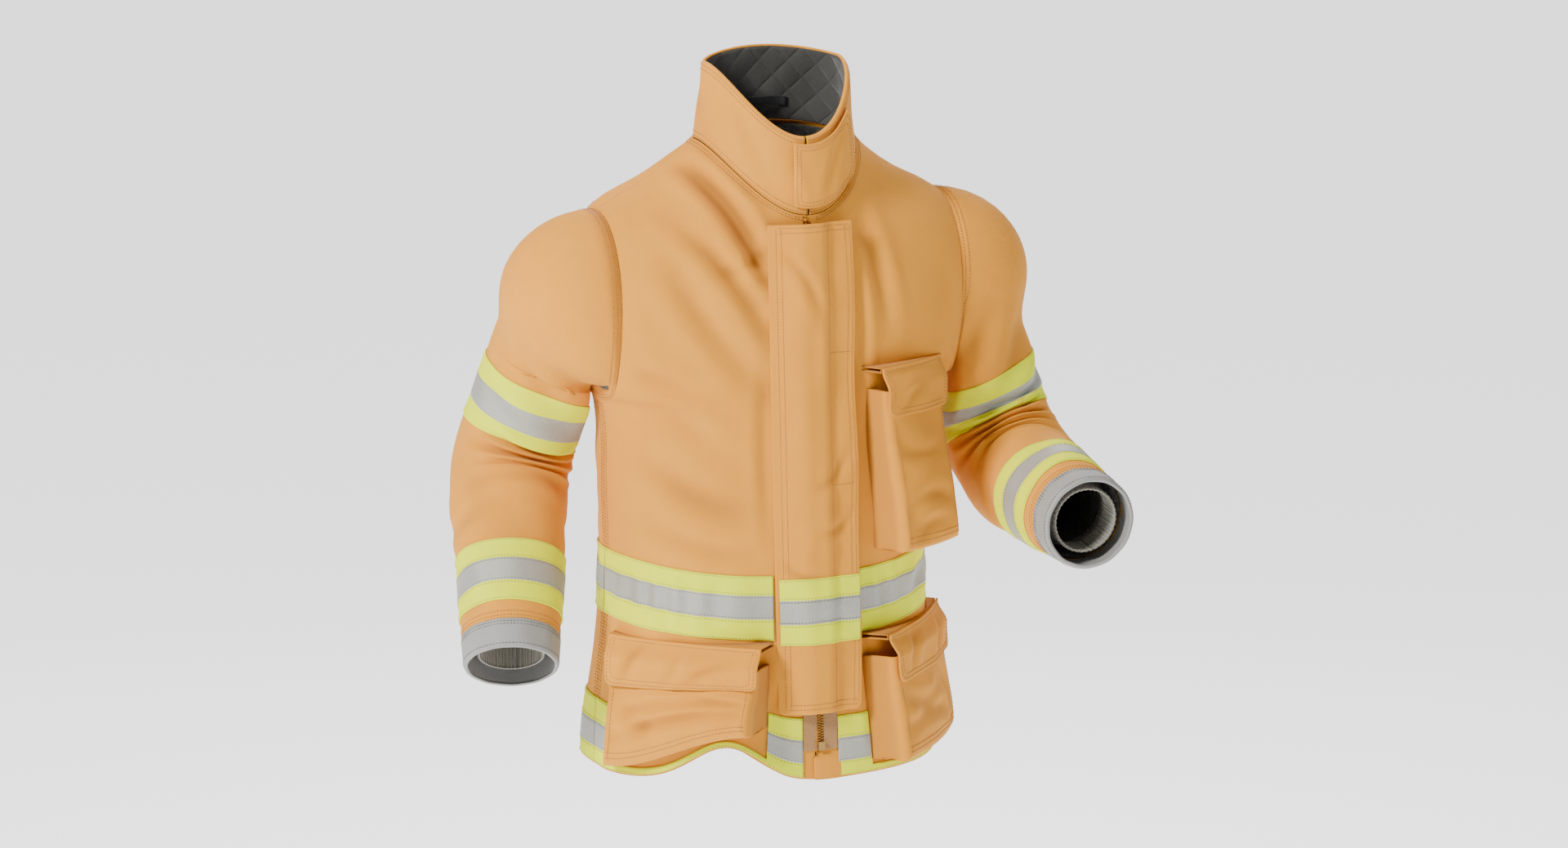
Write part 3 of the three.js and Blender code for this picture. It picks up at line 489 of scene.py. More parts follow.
def stitch(body, path, normals, thread="shell", pitch=0.0038, length=0.0027, width=0.00055):
    """A row of stitches along a path on the cloth, kept until all the rows of a body are made."""
    path, normals = np.asarray(path, float), np.asarray(normals, float)
    lengths = np.r_[0, np.cumsum(np.linalg.norm(np.diff(path, axis=0), axis=1))]
    count = int(lengths[-1] / pitch)
    if count < 2:
        return
    at = (np.arange(count) + 0.5) * lengths[-1] / count
    pick = lambda values, s: np.stack([np.interp(s, lengths, values[:, k]) for k in range(3)], 1)
    centre, out = pick(path, at), unit(pick(normals, at))
    along = unit(pick(path, at + length / 2) - pick(path, at - length / 2))
    stitch_rows.setdefault((body, thread), []).append((centre, along, out, length, width))


def make_stitches():
    threads = {"shell": (THREAD, "shell_cloth"), "trim": (LIME_THREAD, "lime_trim"), "cuff": (GREY_THREAD, "cuff_grey")}
    ring = np.array([[0, 1], [1, 0.0], [0, -1], [-1, 0.0]])
    shape, faces = [[-0.5, 0, 0]], []
    for x, r in ((-0.36, 0.75), (0, 1.0), (0.36, 0.75)):
        shape += [[x, r * a, r * b] for a, b in ring]
    shape = np.array(shape + [[0.5, 0, 0]])
    for k in range(4):
        n = (k + 1) % 4
        faces += [(0, 1 + n, 1 + k), (13, 9 + k, 9 + n)]
        faces += [(1 + k, 1 + n, 5 + n, 5 + k), (5 + k, 5 + n, 9 + n, 9 + k)]
    for (body, thread), rows in stitch_rows.items():
        points, polygons, start = [], [], 0
        for centre, along, out, length, width in rows:
            side = unit(np.cross(out, along))
            local = shape[None] * np.array([length, width, width * 0.8])
            made = centre[:, None] + out[:, None] * 0.0001 + along[:, None] * local[..., :1] + side[:, None] * local[..., 1:2] + out[:, None] * local[..., 2:]
            points.append(made.reshape(-1, 3))
            polygons += [tuple(start + k * 14 + v for v in face) for k in range(len(centre)) for face in faces]
            start += 14 * len(centre)
        material, slot = threads[thread]
        piece = mesh_piece(f"{thread}_stitching_{body}", np.concatenate(points), polygons, material, slot)
        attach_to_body(piece, body)


# ------------------------------------------------------------------ the body's shape, in millimetres until it is placed

LEVELS = np.array([  # half width, back depth, height at side, front and back, squareness, left share
    [215, 160, -715, -715, -715, 2.2, 0.9], [208.6, 152, -618.25, -626.25, -618.25, 2.2, 0.9],
    [199, 134, -500, -516, -500, 2.2, 0.91], [199, 138, -400, -414, -400, 2.2, 0.93],
    [203, 146, -300, -308, -300, 2.2, 0.95], [221, 148, -272, -272, -272, 2.2, 0.99],
    [239, 149, -222, -228, -222, 2.25, 1], [247, 145, -160, -182, -165, 2.3, 1],
    [238, 138, -112, -148, -118, 2.25, 1], [207, 122, -72, -122, -76, 2.15, 1],
    [150, 100, -42, -104, -38, 2.1, 1], [113, 72, -16, -88, -8, 2.05, 1], [89, 46, 2, -72, 12, 2, 1.08]])
NECK = len(LEVELS) - 1
SLOPE = 0.0597


def level(column, t):
    values, t = LEVELS[:, column], np.asarray(t, float)
    i = np.clip(np.floor(t), 0, NECK - 1).astype(int)
    k = np.clip(t, 0, NECK) - i
    a, b, c, d = (values[np.clip(i + j, 0, NECK)] for j in (-1, 0, 1, 2))
    return b + 0.5 * k * (c - a + k * (2 * a - 5 * b + 4 * c - d + k * (3 * (b - c) + d - a)))


def bare_body(theta, t):
    c, s = np.cos(theta), np.sin(theta)
    power = 2 / level(5, t)
    ahead = s < 0
    front = level(3, t)
    deep = 124 - (front + 78) * SLOPE
    x = level(0, t) * np.where(c > 0, level(6, t), 1) * np.sign(c) * np.abs(c) ** power
    y = np.where(ahead, -deep, level(1, t)) * np.abs(s) ** power
    z = mix(level(2, t), np.where(ahead, front, level(4, t)), s * s)
    lift = np.where(y < 0, ease((-530 - z) / 215), 0) * np.exp(-(((x + 110) / 50) ** 2))
    out = unit(np.stack([x * 0.4, y, 0 * x], -1))
    return np.stack([x, y, z], -1) + out * (
        18 * lift * ease((-x - 50) / 40)
    )[..., None] + np.stack([0 * x, 0 * x, 50 * lift], -1)


def level_of(z):
    t = np.linspace(0, NECK, 4001)
    return float(np.interp(z, level(2, t), t))


# Folds of the cloth: on the front (-1) or back (1), points (x, z), half width and depth.
BODY_FOLDS = [
    (-1, [(-128, -10), (-82, -70), (-46, -160)], 11, 13.0), (-1, [(-150, -74), (-86, -142), (-44, -215)], 10, 7.0),
    (-1, [(-160, -120), (-120, -190), (-52, -268)], 13, 5.0), (-1, [(60, -70), (82, -130), (96, -210)], 11, 6.0),
    (-1, [(-52, -232), (-58, -330), (-54, -440)], 8, 2.6), (-1, [(54, -90), (60, -200), (55, -300)], 8, 3.0),
    (-1, [(-196, -330), (-140, -384), (-70, -404)], 14, 4.0), (-1, [(-192, -286), (-150, -300), (-110, -330)], 12, 3.6),
    (-1, [(-190, -420), (-120, -448), (-60, -452)], 10, 3.0), (-1, [(-188, -476), (-150, -560), (-140, -600)], 12, 2.0),
    (-1, [(-70, -542), (-62, -590), (-54, -640)], 8, 3.5), (-1, [(-88, -640), (-72, -600), (-60, -560)], 9, 3.0),
    (-1, [(60, -545), (66, -600), (72, -690)], 9, 4.0), (-1, [(186, -300), (150, -330), (130, -380)], 10, 2.6),
    (-1, [(196, -250), (170, -262), (130, -255)], 10, 3.0), (-1, [(-198, -240), (-170, -256), (-130, -262)], 11, 4.0),
    (-1, [(182, -480), (150, -500), (120, -530)], 10, 2.0), (-1, [(-24, -92), (-60, -120), (-110, -136)], 8, 2.6),
    (1, [(-190, -240), (-130, -300), (-60, -330)], 15, 6.0), (1, [(190, -236), (130, -300), (50, -340)], 15, 6.0),
    (1, [(-196, -300), (-140, -380), (-70, -430)], 14, 5.0), (1, [(196, -300), (140, -372), (60, -440)], 14, 5.0),
    (1, [(-186, -420), (-110, -462), (-30, -470)], 11, 4.5), (1, [(186, -430), (120, -468), (40, -474)], 11, 4.5),
    (1, [(-120, -540), (-128, -620), (-134, -712)], 15, 6.0), (1, [(-40, -538), (-36, -620), (-40, -712)], 16, 6.5),
    (1, [(52, -540), (50, -620), (60, -712)], 16, 6.5), (1, [(136, -540), (140, -620), (148, -712)], 15, 6.0),
    (1, [(-120, -96), (-60, -128), (-10, -132)], 11, 2.5), (1, [(124, -96), (60, -130), (14, -134)], 11, 2.5),
    (1, [(-60, -180), (-90, -260), (-96, -330)], 12, 3.5), (1, [(64, -180), (92, -260), (100, -330)], 12, 3.5)]


def fold_height(a, b, folds):
    """Height of the cloth over its smooth shape where folds cross it: a valley with a soft ridge on each side."""
    height = np.zeros(np.broadcast(a, b).shape)
    for line, width, depth in folds:
        line = np.array(line, float)
        lengths = np.r_[0, np.cumsum(np.linalg.norm(np.diff(line, axis=0), axis=1))]
        fine = np.linspace(0, lengths[-1], 13)
        k = fine / lengths[-1]
        k = k[:, None]
        middle_point = 2 * line[1] - (line[0] + line[2]) / 2
        curve = (1 - k) ** 2 * line[0] + 2 * k * (1 - k) * middle_point + k * k * line[2]
        best, share = np.full(height.shape, 1e9), np.zeros(height.shape)
        for n in range(12):
            p, q = curve[n], curve[n + 1]
            d = q - p
            u = np.clip(((a - p[0]) * d[0] + (b - p[1]) * d[1]) / (d @ d), 0, 1)
            distance = np.hypot(a - p[0] - u * d[0], b - p[1] - u * d[1])
            near = distance < best
            best, share = np.where(near, distance, best), np.where(near, (n + u) / 12, share)
        swell = np.sin(np.pi * np.clip(share, 0.03, 0.97)) ** 0.7
        height += depth * swell * (
            0.5 * np.exp(-(((best - 1.9 * width) / width) ** 2)) - np.exp(-((best / width) ** 2))
        )
    return height


waves = [(dice.uniform(-1, 1, 2), dice.uniform(0, TAU)) for _ in range(16)]


def unevenness(a, b, size, amount):
    """Slow, even-handed rise and fall of cloth, the same at every run."""
    total = 0
    for n, (way, shift) in enumerate(waves):
        way = way / np.hypot(*way)
        total = total + np.sin((way[0] * a + way[1] * b) * TAU / (size * (1 + 0.13 * n)) + shift)
    return total * amount / 4


def body_fold(theta, t, p):
    x, y, z = p[..., 0], p[..., 1], p[..., 2]
    front = fold_height(x, z, [f[1:] for f in BODY_FOLDS if f[0] < 0]) * ease((-y - 4) / 30)
    back = fold_height(x, z, [f[1:] for f in BODY_FOLDS if f[0] > 0]) * ease((y - 4) / 30)
    height = front + back + unevenness(190 * np.cos(theta) + 40, z + 150 * np.sin(theta), 105, 1.6)
    height += 1.5 * np.exp(-(((z + 505) / 26) ** 2)) * np.sin(theta * 31 + 2.2 * np.sin(theta * 5))
    height += 2.6 * ease((-560 - z) / 120) * np.sin(theta * 9 + 1.2) * ease((y + 60) / 60)
    closure = ease((np.abs(x) - 18) / 34)
    height = np.where(y < 0, height * closure, height)
    armhole = 1 - ease((t - 3.3) / 0.7) * (1 - ease((204 - np.abs(x)) / 26)) * (t < 9.6)
    collar = ease((NECK - t) / 0.7)
    return np.clip(height, -13, 7) * armhole * collar


def skin(theta, t, offset=0.0):
    """Point, outward normal and fold height of the folded shell, in metres; offset is in millimetres."""
    theta, t = np.broadcast_arrays(np.asarray(theta, float), np.asarray(t, float))
    e = 0.012
    high, low = np.minimum(NECK, t + e), np.maximum(0, np.minimum(NECK, t + e) - 2 * e)
    normal = unit(np.cross(
        bare_body(theta + e, t) - bare_body(theta - e, t), bare_body(theta, high) - bare_body(theta, low)
    ))
    p = bare_body(theta, t)
    fold = body_fold(theta, t, p)
    return (p + normal * (fold + offset)[..., None]) / 1000, normal, fold


ARMHOLE_X = 207  # both armholes lie in planes at this distance from the middle
ARMHOLE_Y, ARMHOLE_Z = 5, -178


# Painted crease shade: how much darker the colour is made where the cloth folds inward, from the fold's depth.
def crease_shade_of(fold, limit=9.0):
    return np.clip(-fold / limit, 0, 1) ** 1.4 * 0.34


def lattice(u, v):
    return np.meshgrid(u, v, indexing="ij")


def body_rows(theta, t, body="coat_body", thread="shell", offset=0.4):
    """A stitched row along a path on the shell."""
    p, n, _ = skin(theta, t, offset)
    keep = (np.abs(p[:, 0]) < 0.2055) | (p[:, 2] < -0.30)
    runs = np.split(np.arange(len(p)), np.where(np.diff(keep.astype(int)) != 0)[0] + 1)
    for run in runs:
        if keep[run[0]] and len(run) > 3:
            stitch(body, p[run], n[run], thread)


def panels():
    """The back and the two fronts. The left front reaches behind the zip, and above and below it laps over the right one."""
    made = {}
    spans = {
        "back_panel": (0.0, math.pi, 220), "front_panel_right": (-math.pi, -math.pi / 2 + 0.012, 130),
        "front_panel_left": (-math.pi / 2 - 0.05, 0.0, 130)
    }
    levels = np.r_[np.linspace(0, 0.12, 4), np.linspace(0.16, 3.9, 92), np.linspace(3.95, NECK, 110)]
    for name, (low, high, count) in spans.items():
        theta, t = lattice(np.linspace(low, high, count), levels)
        p, _, fold = skin(theta, t)
        if name.startswith("front"):
            side = -1 if name.endswith("right") else 1
            edge = 0.0042 if side < 0 else -0.0090
            x = p[..., 0]
            under = np.maximum(
                ease((-0.684 - p[..., 2]) / 0.004), ease((p[..., 2] + 0.0835) / 0.004)
            ) if side > 0 else np.zeros_like(x)
            limit = np.where(p[..., 2] < -0.3, mix(-0.0038, edge, under), -0.0040) if side > 0 else 0.0042
            p[..., 0] = np.where(np.abs(theta + math.pi / 2) < 0.08, side * np.maximum(side * x, limit), x)
            if side > 0:
                p[..., 1] += 0.003 * (1 - under) * (1 - ease((p[..., 0] - 0.0024) / 0.002))
            p[..., 1] -= 0.0036 * under * (p[..., 2] < -0.3) * np.exp(-((p[..., 0] / 0.03) ** 2))
        # Painted crease shade in the folds, plus darker along the hem's lower edge.
        wear = crease_shade_of(fold) + 0.10 * ease((0.10 - t) / 0.1)
        piece = grid_piece(name, p, SHELL, "shell_cloth", wear)
        for side in (-1, 1):
            cut_off(piece, (side * 0.2071, 0, 0), (side, 0, 0), -0.30)
        thicken(piece, 0.0026)
        attach(piece, "coat_body", name)
        declare(piece, p)
        made[name] = piece
    return made


shell_panels = panels()

# Side seams, shoulder yoke, neck seam and hem rows.
for side in (0.0, math.pi):
    for gap in (0.012, 0.042):
        for way in (-1, 1):
            body_rows(side + way * gap, np.linspace(0.03, 6.5, 260))
for height in (0.05, 0.12):
    for low, high in ((-1.50, 0.0), (0.0, math.pi), (math.pi, math.pi + 1.50)):
        body_rows(np.linspace(low, high, 400), height)
for height in (11.78, 11.62):
    body_rows(np.linspace(-1.50, math.pi + 1.50, 500), height)
for gap in (0.0, 0.10):
    body_rows(np.linspace(0.25, math.pi - 0.25, 260), np.full(260, 8.9 + gap))


def body_lining():
    theta, t = lattice(np.linspace(0, TAU, 145)[:-1], np.linspace(level_of(-655), NECK - 0.12, 110))
    p, _, _ = skin(theta, t, -4.4)
    piece = mesh_piece(
        "body_lining", p.reshape(-1, 3), quads(144, 110, True), LINING, "lining",
        np.stack([theta * 0.19, t * 0.06], -1).reshape(-1, 2), np.zeros(p.size // 3)
    )
    for side in (-1, 1):
        cut_off(piece, (side * 0.2048, 0, 0), (side, 0, 0), -0.30)

    def open_front(work):
        slit = [f for f in work.faces if abs(f.calc_center_median().x) < 0.014 and f.calc_center_median().y < 0]
        bmesh.ops.delete(work, geom=slit, context="FACES")

    rework(piece, open_front)
    thicken(piece, 0.0024)
    attach(piece, "coat_body", "body_liner")
    declare(piece, p)


body_lining()


def armhole_facings():
    """The turned-in allowance of each armhole, which also closes the gap that a swung sleeve would open."""
    for name, side in (("right", -1), ("left", 1)):
        t = np.linspace(4, 9.02, 900)
        wide = level(0, t)
        t = t[wide >= ARMHOLE_X + 0.5]
        wide = level(0, t)
        theta = np.arccos((ARMHOLE_X / wide) ** (level(5, t) / 2))
        rows = []
        for sign in (-1, 1):
            for a, b in zip(theta, t):
                q = bare_body(np.array(sign * a), np.array(b))
                rows.append((
                    math.atan2(q[2] - ARMHOLE_Z, q[1] - ARMHOLE_Y), math.hypot(q[2] - ARMHOLE_Z, q[1] - ARMHOLE_Y)
                ))
        rows = np.array(sorted(rows))
        phi = np.linspace(-math.pi, math.pi, 97)[:-1]
        r = np.interp(phi, rows[:, 0], rows[:, 1], period=TAU)
        r = np.convolve(np.r_[r[-3:], r, r[:3]], np.ones(7) / 7, "valid")
        ring = []
        for inset, x in ((-0.2, 207.0), (1.2, 206.9), (5, 206.0), (14, 205.4), (26, 205.8)):
            ring.append(np.stack(
                [np.full(96, side * x), ARMHOLE_Y + (r - inset) * np.cos(phi), ARMHOLE_Z + (r - inset) * np.sin(phi)], 1
            ))
        grid = np.stack(ring, 1) / 1000
        piece = sheet_piece(
            "armhole_facing_" + name, grid, 0.0016, SHELL, "shell_cloth", ring=True, wear=0.1, turn=side < 0
        )
        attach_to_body(piece, "coat_body")


armhole_facings()

# ------------------------------------------------------------------ collar


COLLAR_HEIGHT, NECK_HALF_WIDTH = 88, 89


def collar_skin(theta, h, offset):
    theta, h = np.broadcast_arrays(np.asarray(theta, float), np.asarray(h, float))
    base = bare_body(theta, np.full(theta.shape, float(NECK)))
    lean = mix(1, 0.9, np.clip(h / COLLAR_HEIGHT, 0, 1))
    fold = 1.6 * np.sin(theta * 7 + h * 0.05) * np.sin(
        np.clip(h / COLLAR_HEIGHT, 0, 1) * math.pi
    ) * ease((np.abs(theta + math.pi / 2) - 0.25) / 0.5)
    fold = fold + fold_height(
        theta * 90, h,
        [
            ([(-185, 84), (-168, 50), (-152, 6)], 7, 3.2), ([(-230, 70), (-205, 40), (-190, 8)], 8, 2.6),
            ([(-90, 80), (-110, 46), (-118, 10)], 7, 2.2)
        ]
    ) * ease(h / 12) * ease((COLLAR_HEIGHT - h) / 10)
    p = np.stack([base[..., 0] * lean, -40 + (base[..., 1] + 40) * lean, base[..., 2] + h], -1)
    out = np.stack([np.cos(theta), np.sin(theta), 0 * theta], -1)
    return (p + out * (offset + fold * 0.8)[..., None]) / 1000, out, fold


def collar():
    split = 0.013
    theta = np.linspace(-math.pi / 2 + split, 1.5 * math.pi - split, 240)
    profile = [(1.0, -2.4), (0.8, -0.4)] + [(h, 0.0) for h in np.linspace(1.6, 84, 26)] + [
        (86.2, -0.5), (87.6, -1.5), (88, -2.8), (87.5, -4.2), (86, -5.2)
    ]
    rows = [collar_skin(theta, np.full(240, h), np.full(240, o)) for h, o in profile]
    p = np.stack([r[0] for r in rows], 1)
    fold = np.stack([r[2] for r in rows], 1)
    piece = sheet_piece("collar", p, 0.0018, SHELL, "shell_cloth", wear=crease_shade_of(fold, 5))
    attach(piece, "coat_body", "collar_shell")
    declare(piece, p)
    heights = np.linspace(0.5, 85.5, 24)
    rows = [collar_skin(theta, np.full(240, h), np.full(240, -3.3)) for h in heights]
    p = np.stack([r[0] for r in rows], 1)
    lining = sheet_piece("collar_lining", p, 0.0018, LINING, "lining", wear=np.zeros(p.shape[:2]))
    attach(lining, "coat_body", "collar_lining")
    declare(lining, p)
    for h in (3.0, 8.0, 79.0, 84.0):
        q, n, _ = collar_skin(theta, np.full(240, h), np.full(240, 0.25))
        stitch("coat_body", q, n)
    for x in (0.04, 0.09):
        for side in (-1, 1):
            q, n, _ = collar_skin(
                np.full(40, -math.pi / 2 + side * (split + x)), np.linspace(9, 78, 40), np.full(40, 0.25)
            )
            stitch("coat_body", q, n)


collar()


def collar_patch(name, x0, x1, h0, h1, lift, thick, material, slot, body, node=None, corner=0.0, rows=(), bulge=0.0):
    """A stiff patch on the collar, from x0 to x1 across its front and from height h0 to h1."""
    angle = lambda x: -np.arccos(x / (NECK_HALF_WIDTH * 0.95))
    xs, rim_x = edged(x0, x1, 28, 1.5)
    hs, rim_h = edged(h0, h1, 24, 1.5)
    x, h = lattice(xs, hs)
    rim = np.minimum(*lattice(rim_x, rim_h))
    if corner:
        near = np.clip((np.abs(h - (h0 + h1) / 2) - ((h1 - h0) / 2 - corner)) / corner, 0, 1)
        cut = corner * (1 - np.sqrt(1 - near**2))
        k = (x - x0) / (x1 - x0)
        x = x0 + k * (x1 - cut - x0)
    p, n, _ = collar_skin(angle(x), h, lift + thick / 2 + bulge * np.sin(np.clip((x - x0) / (x1 - x0), 0, 1) * math.pi))
    piece = slab(name, p, n, thick / 1000, rim, material, slot, wear=0.10 * (1 - rim))
    attach(piece, body, node)
    for inset in rows:
        ring = [(a, h0 + inset) for a in np.linspace(x0 + inset, x1 - inset - corner * 0.6, 30)] + [
            (x1 - inset, a) for a in np.linspace(h0 + inset + corner * 0.6, h1 - inset - corner * 0.6, 30)
        ]
        ring += [
            (a, h1 - inset) for a in np.linspace(x1 - inset - corner * 0.6, x0 + inset, 30)
        ] + [(x0 + inset, a) for a in np.linspace(h1 - inset, h0 + inset, 30)]
        ring = np.array(ring)
        q, n, _ = collar_skin(
            angle(ring[:, 0]), ring[:, 1],
            lift + thick + 0.1 + bulge * np.sin(np.clip((ring[:, 0] - x0) / (x1 - x0), 0, 1) * math.pi)
        )
        stitch(body, q, n)
    return piece


collar_patch(
    "throat_tab", -16, 60, 8, 80, 2.4, 2.8, SHELL, "shell_cloth", "throat_tab", "throat_tab", corner=9, rows=(3.2, 7.2),
    bulge=0.8
)
collar_patch(
    "throat_tab_loop_strip", 34, 56, 16, 72, 0.3, 1.2, LOOPS, "fastener_tape", "coat_body", "throat_tab_loop_strip"
)


def hanger_loop():
    u, rim_u = edged(math.pi / 2 - 0.42, math.pi / 2 + 0.42, 30, 0.02)
    h, rim_h = edged(18, 29, 8, 1.0)
    a, b = lattice(u, h)
    bow = 6.6 + 8 * np.cos(((a - math.pi / 2) / 0.42) * math.pi / 2) ** 2
    base = bare_body(a, np.full(a.shape, float(NECK)))
    out = np.stack([np.cos(a), np.sin(a), 0 * a], -1)
    lean = mix(1, 0.9, b / COLLAR_HEIGHT)
    p = np.stack(
        [base[..., 0] * lean, -40 + (base[..., 1] + 40) * lean, base[..., 2] + b], -1
    ) - out * (bow + 1)[..., None]
    piece = slab(
        "hanger_loop", p / 1000, out, 0.0018, np.minimum(*lattice(rim_u, rim_h)), BINDING, "fastener_tape",
        wear=np.zeros(a.shape)
    )
    attach(piece, "coat_body", "hanger_loop")


hanger_loop()

# ------------------------------------------------------------------ reflective trim

TRIM_ACROSS = np.array([
    0, 0.5, 1.2, 4, 8, 12, 16, 20, 23.4, 23.8, 24.4, 28, 33, 38, 43, 48, 51.6, 52.2, 52.6, 56, 60, 64, 68, 72, 74.8,
    75.5, 76.0
])


TRIM_WIDE, TRIM_THICK = 76, 0.0009
TRIM_ROWS = (2.2, 21.8, 26.2, 49.8, 54.2, 73.8)
FLAP_TRIM_FOOT = 480.0


def trim_thread(v):
    """Lime thread on the lime edges, grey on the silver band."""
    return "cuff" if 24 < v < 52 else "trim"


def trim_relief(v):
    """Height over the tape's own face and whether the silver band is there, at v millimetres across it."""
    silver = (v > 24.1) & (v < 51.9)
    rim = np.sqrt(np.clip(1 - (1 - np.clip(np.minimum(v, TRIM_WIDE - v) / 1.2, 0, 1)) ** 2, 0, 1))
    return rim, silver.astype(float), 0.35 * silver


def body_trim(name, node, low, high, theta0, theta1, cutters=(), count=200, width=TRIM_WIDE):
    """A length of trim between two heights and two plan angles, cut at planes, or only its foot if width is less than the whole."""
    t0, t1 = level_of(low), level_of(high)
    theta = np.linspace(theta0, theta1, count)
    across = TRIM_ACROSS[TRIM_ACROSS <= width]
    rim, silver, raise_ = trim_relief(across)
    a, v = lattice(theta, across)
    t = mix(t0, t1, v / TRIM_WIDE)
    p, _, fold = skin(a, t, 0.5 + 1.3 * rim[None] + raise_[None])
    piece = grid_piece(name, p, TRIM, "lime_trim", crease_shade_of(fold), silver)
    for place, normal in cutters:
        cut_off(piece, place, normal)
    thicken(piece, TRIM_THICK)
    attach(piece, "coat_body", node)
    for v in TRIM_ROWS:
        q, n, _ = skin(theta, mix(t0, t1, v / TRIM_WIDE), 1.95)
        for place, normal in cutters:
            keep = (q - place) @ np.array(normal) < 0
            q, n = q[keep], n[keep]
        if len(q) > 4 and v < width:
            stitch("coat_body", q, n, trim_thread(v))


def front_angle(x, t, side):
    """Plan angle at which the shell's front is x millimetres from the middle."""
    a = np.linspace(-math.pi / 2, 0 if side > 0 else -math.pi, 800)
    return float(np.interp(x, np.abs(bare_body(a, np.full(800, t))[:, 0]), a))


for prefix, low, high in (("waist_trim", -538, -462), ("hem_trim", -713, -637)):
    t = level_of((low + high) / 2)
    body_trim(prefix + "_back", prefix + "_back", low, high, 0.004, math.pi - 0.004, count=260)
    if prefix == "waist_trim":
        body_trim(
            "waist_trim_right", "waist_trim_right", low, high, -math.pi + 0.004, front_angle(52, t, -1), count=150
        )
        body_trim("waist_trim_left", "waist_trim_left", low, high, front_angle(52, t, 1), -0.004, count=150)

def node_points(node):
    return np.array([v.co[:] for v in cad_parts[node].data.vertices])


class Pocket:
    """A pocket's own frame: across, out from the coat and up, in millimetres from its flap's top edge."""

    def __init__(self, name, side, facing, width, height, depth, mouth, bow, top, flap, rise=0.0):
        self.name, self.side, self.width, self.height, self.depth, self.mouth = name, side, width, height, depth, mouth
        self.bow, self.top, self.flap, self.rise = bow, top, flap, rise
        turn = math.radians(facing)
        self.out = np.array([side * math.sin(turn), -math.cos(turn), 0.0])
        self.across = np.array([-self.out[1], self.out[0], 0.0])
        points = node_points(name) * 1000
        self.reach = (points @ self.out).max() - depth
        flap_points = node_points(
            name.replace("pocket", "pocket_flap", 1) if "hip" in name else "chest_pocket_flap"
        ) * 1000
        along = flap_points @ self.across
        self.centre = (along.max() + along.min()) / 2

    def place(self, a, o, h):
        a, o, h = np.broadcast_arrays(a, o, h)
        h = h + self.rise * ease((a + self.width / 2) / self.width) * ease((-h - 20) / (self.height - 20))
        flat = self.across * (self.centre + a)[..., None] + self.out * (self.reach + o)[..., None]
        flat[..., 2] = self.top + h
        return flat / 1000

    def face(self, a, h):
        down = ease((-h - 27) / (self.height - 27))
        return mix(self.mouth, self.depth, down) - self.bow * (2 * a / self.width) ** 2


hip_right = Pocket("hip_pocket_right", -1, 45, 180, 148, 30, 8, 8, -552, 56, 50)
hip_left = Pocket("hip_pocket_left", 1, 50, 180, 148, 24, 8, 8, -552, 56)
chest = Pocket("chest_pocket", 1, 31, 104, 210, 33, 6, 5, -247, 56)

# Beside each hip pocket the hem trim is whole; under the pocket only its foot shows.
for side, pocket, name in ((-1, hip_right, "right"), (1, hip_left, "left")):
    near = pocket.across * (pocket.centre - side * (pocket.width / 2 + 1.6))
    far = pocket.across * (pocket.centre + side * (pocket.width / 2 + 1.6))
    t = level_of(-675)
    inner = front_angle(21.6, t, side)
    toward = pocket.across * side
    both = [(tuple(near / 1000), tuple(-toward)), (tuple(far / 1000), tuple(toward))]
    low, high = sorted((inner, -math.pi / 2 + side * math.pi / 2))
    body_trim(
        f"hem_trim_{name}_below_pocket", "hem_trim_" + name, -713, -637, low + 0.02, high - 0.02, both, count=200,
        width=12
    )
    for part, spot, way in (("near", near, 1), ("far", far, -1)):
        ends = (low + (0.004 if side < 0 else 0), high - (0.004 if side > 0 else 0))
        body_trim(
            f"hem_trim_{name}_{part}", "hem_trim_" + name, -713, -637, *ends,
            [(tuple(spot / 1000), tuple(toward * way))], count=170
        )

# ------------------------------------------------------------------ front closure

slope = math.atan(SLOPE)
OUT = np.array([0, -math.cos(slope), math.sin(slope)])
DOWN = np.array([0, -math.sin(slope), -math.cos(slope)])
TOP = np.array([0, -124.0, -78.0])


def closure(x, d, s):
    x, d, s = np.broadcast_arrays(np.asarray(x, float), np.asarray(d, float), np.asarray(s, float))
    return (TOP + np.array([1.0, 0, 0]) * x[..., None] + OUT * d[..., None] + DOWN * s[..., None]) / 1000


FLAP_LENGTH = 560
FLAP_PROFILE = ([-50, -44, -38, -26, -14, 12, 22, 50], [-1.4, 0.6, 3.4, 9.4, 13.4, 13.2, 5.0, 4.9])
FLAP_CREASES = [
    ([(-40, 30), (-8, 70), (10, 120)], 7, 2.6), ([(44, 250), (20, 290), (-6, 300)], 7, 2.4),
    ([(46, 330), (24, 350), (0, 352)], 6, 2.2), ([(-44, 380), (-20, 402), (16, 400)], 7, 2.6),
    ([(46, 470), (16, 452), (-30, 460)], 7, 2.0),
]


def flap_rise(x, s):
    """Height of the storm flap's middle surface over the closure line."""
    base = (np.interp(x, *FLAP_PROFILE) + np.interp(x - 4, *FLAP_PROFILE) + np.interp(x + 4, *FLAP_PROFILE)) / 3
    lively = ease((x + 46) / 30)
    ripple = 1.5 * np.sin(s / 41 + 0.8) * np.sin(s / 97) * ease((x - 10) / 30) + 0.8 * unevenness(x * 2, s, 70, 1.0)
    crease = fold_height(x, s, FLAP_CREASES)
    return base + (ripple + crease * 0.7) * lively, crease


def flap_shape(u, s):
    """u runs from -1 at the sewn edge to 1 at the free edge."""
    corner = 9
    low = np.clip((s - (FLAP_LENGTH - corner)) / corner, 0, 1)
    low_cut = corner * (1 - np.sqrt(1 - low**2))
    free = 50 + 2.2 * np.sin(s / 60) * np.sin(s / 200 * math.pi) - low_cut
    sewn = -50 + low_cut
    return mix(sewn, free, (u + 1) / 2)


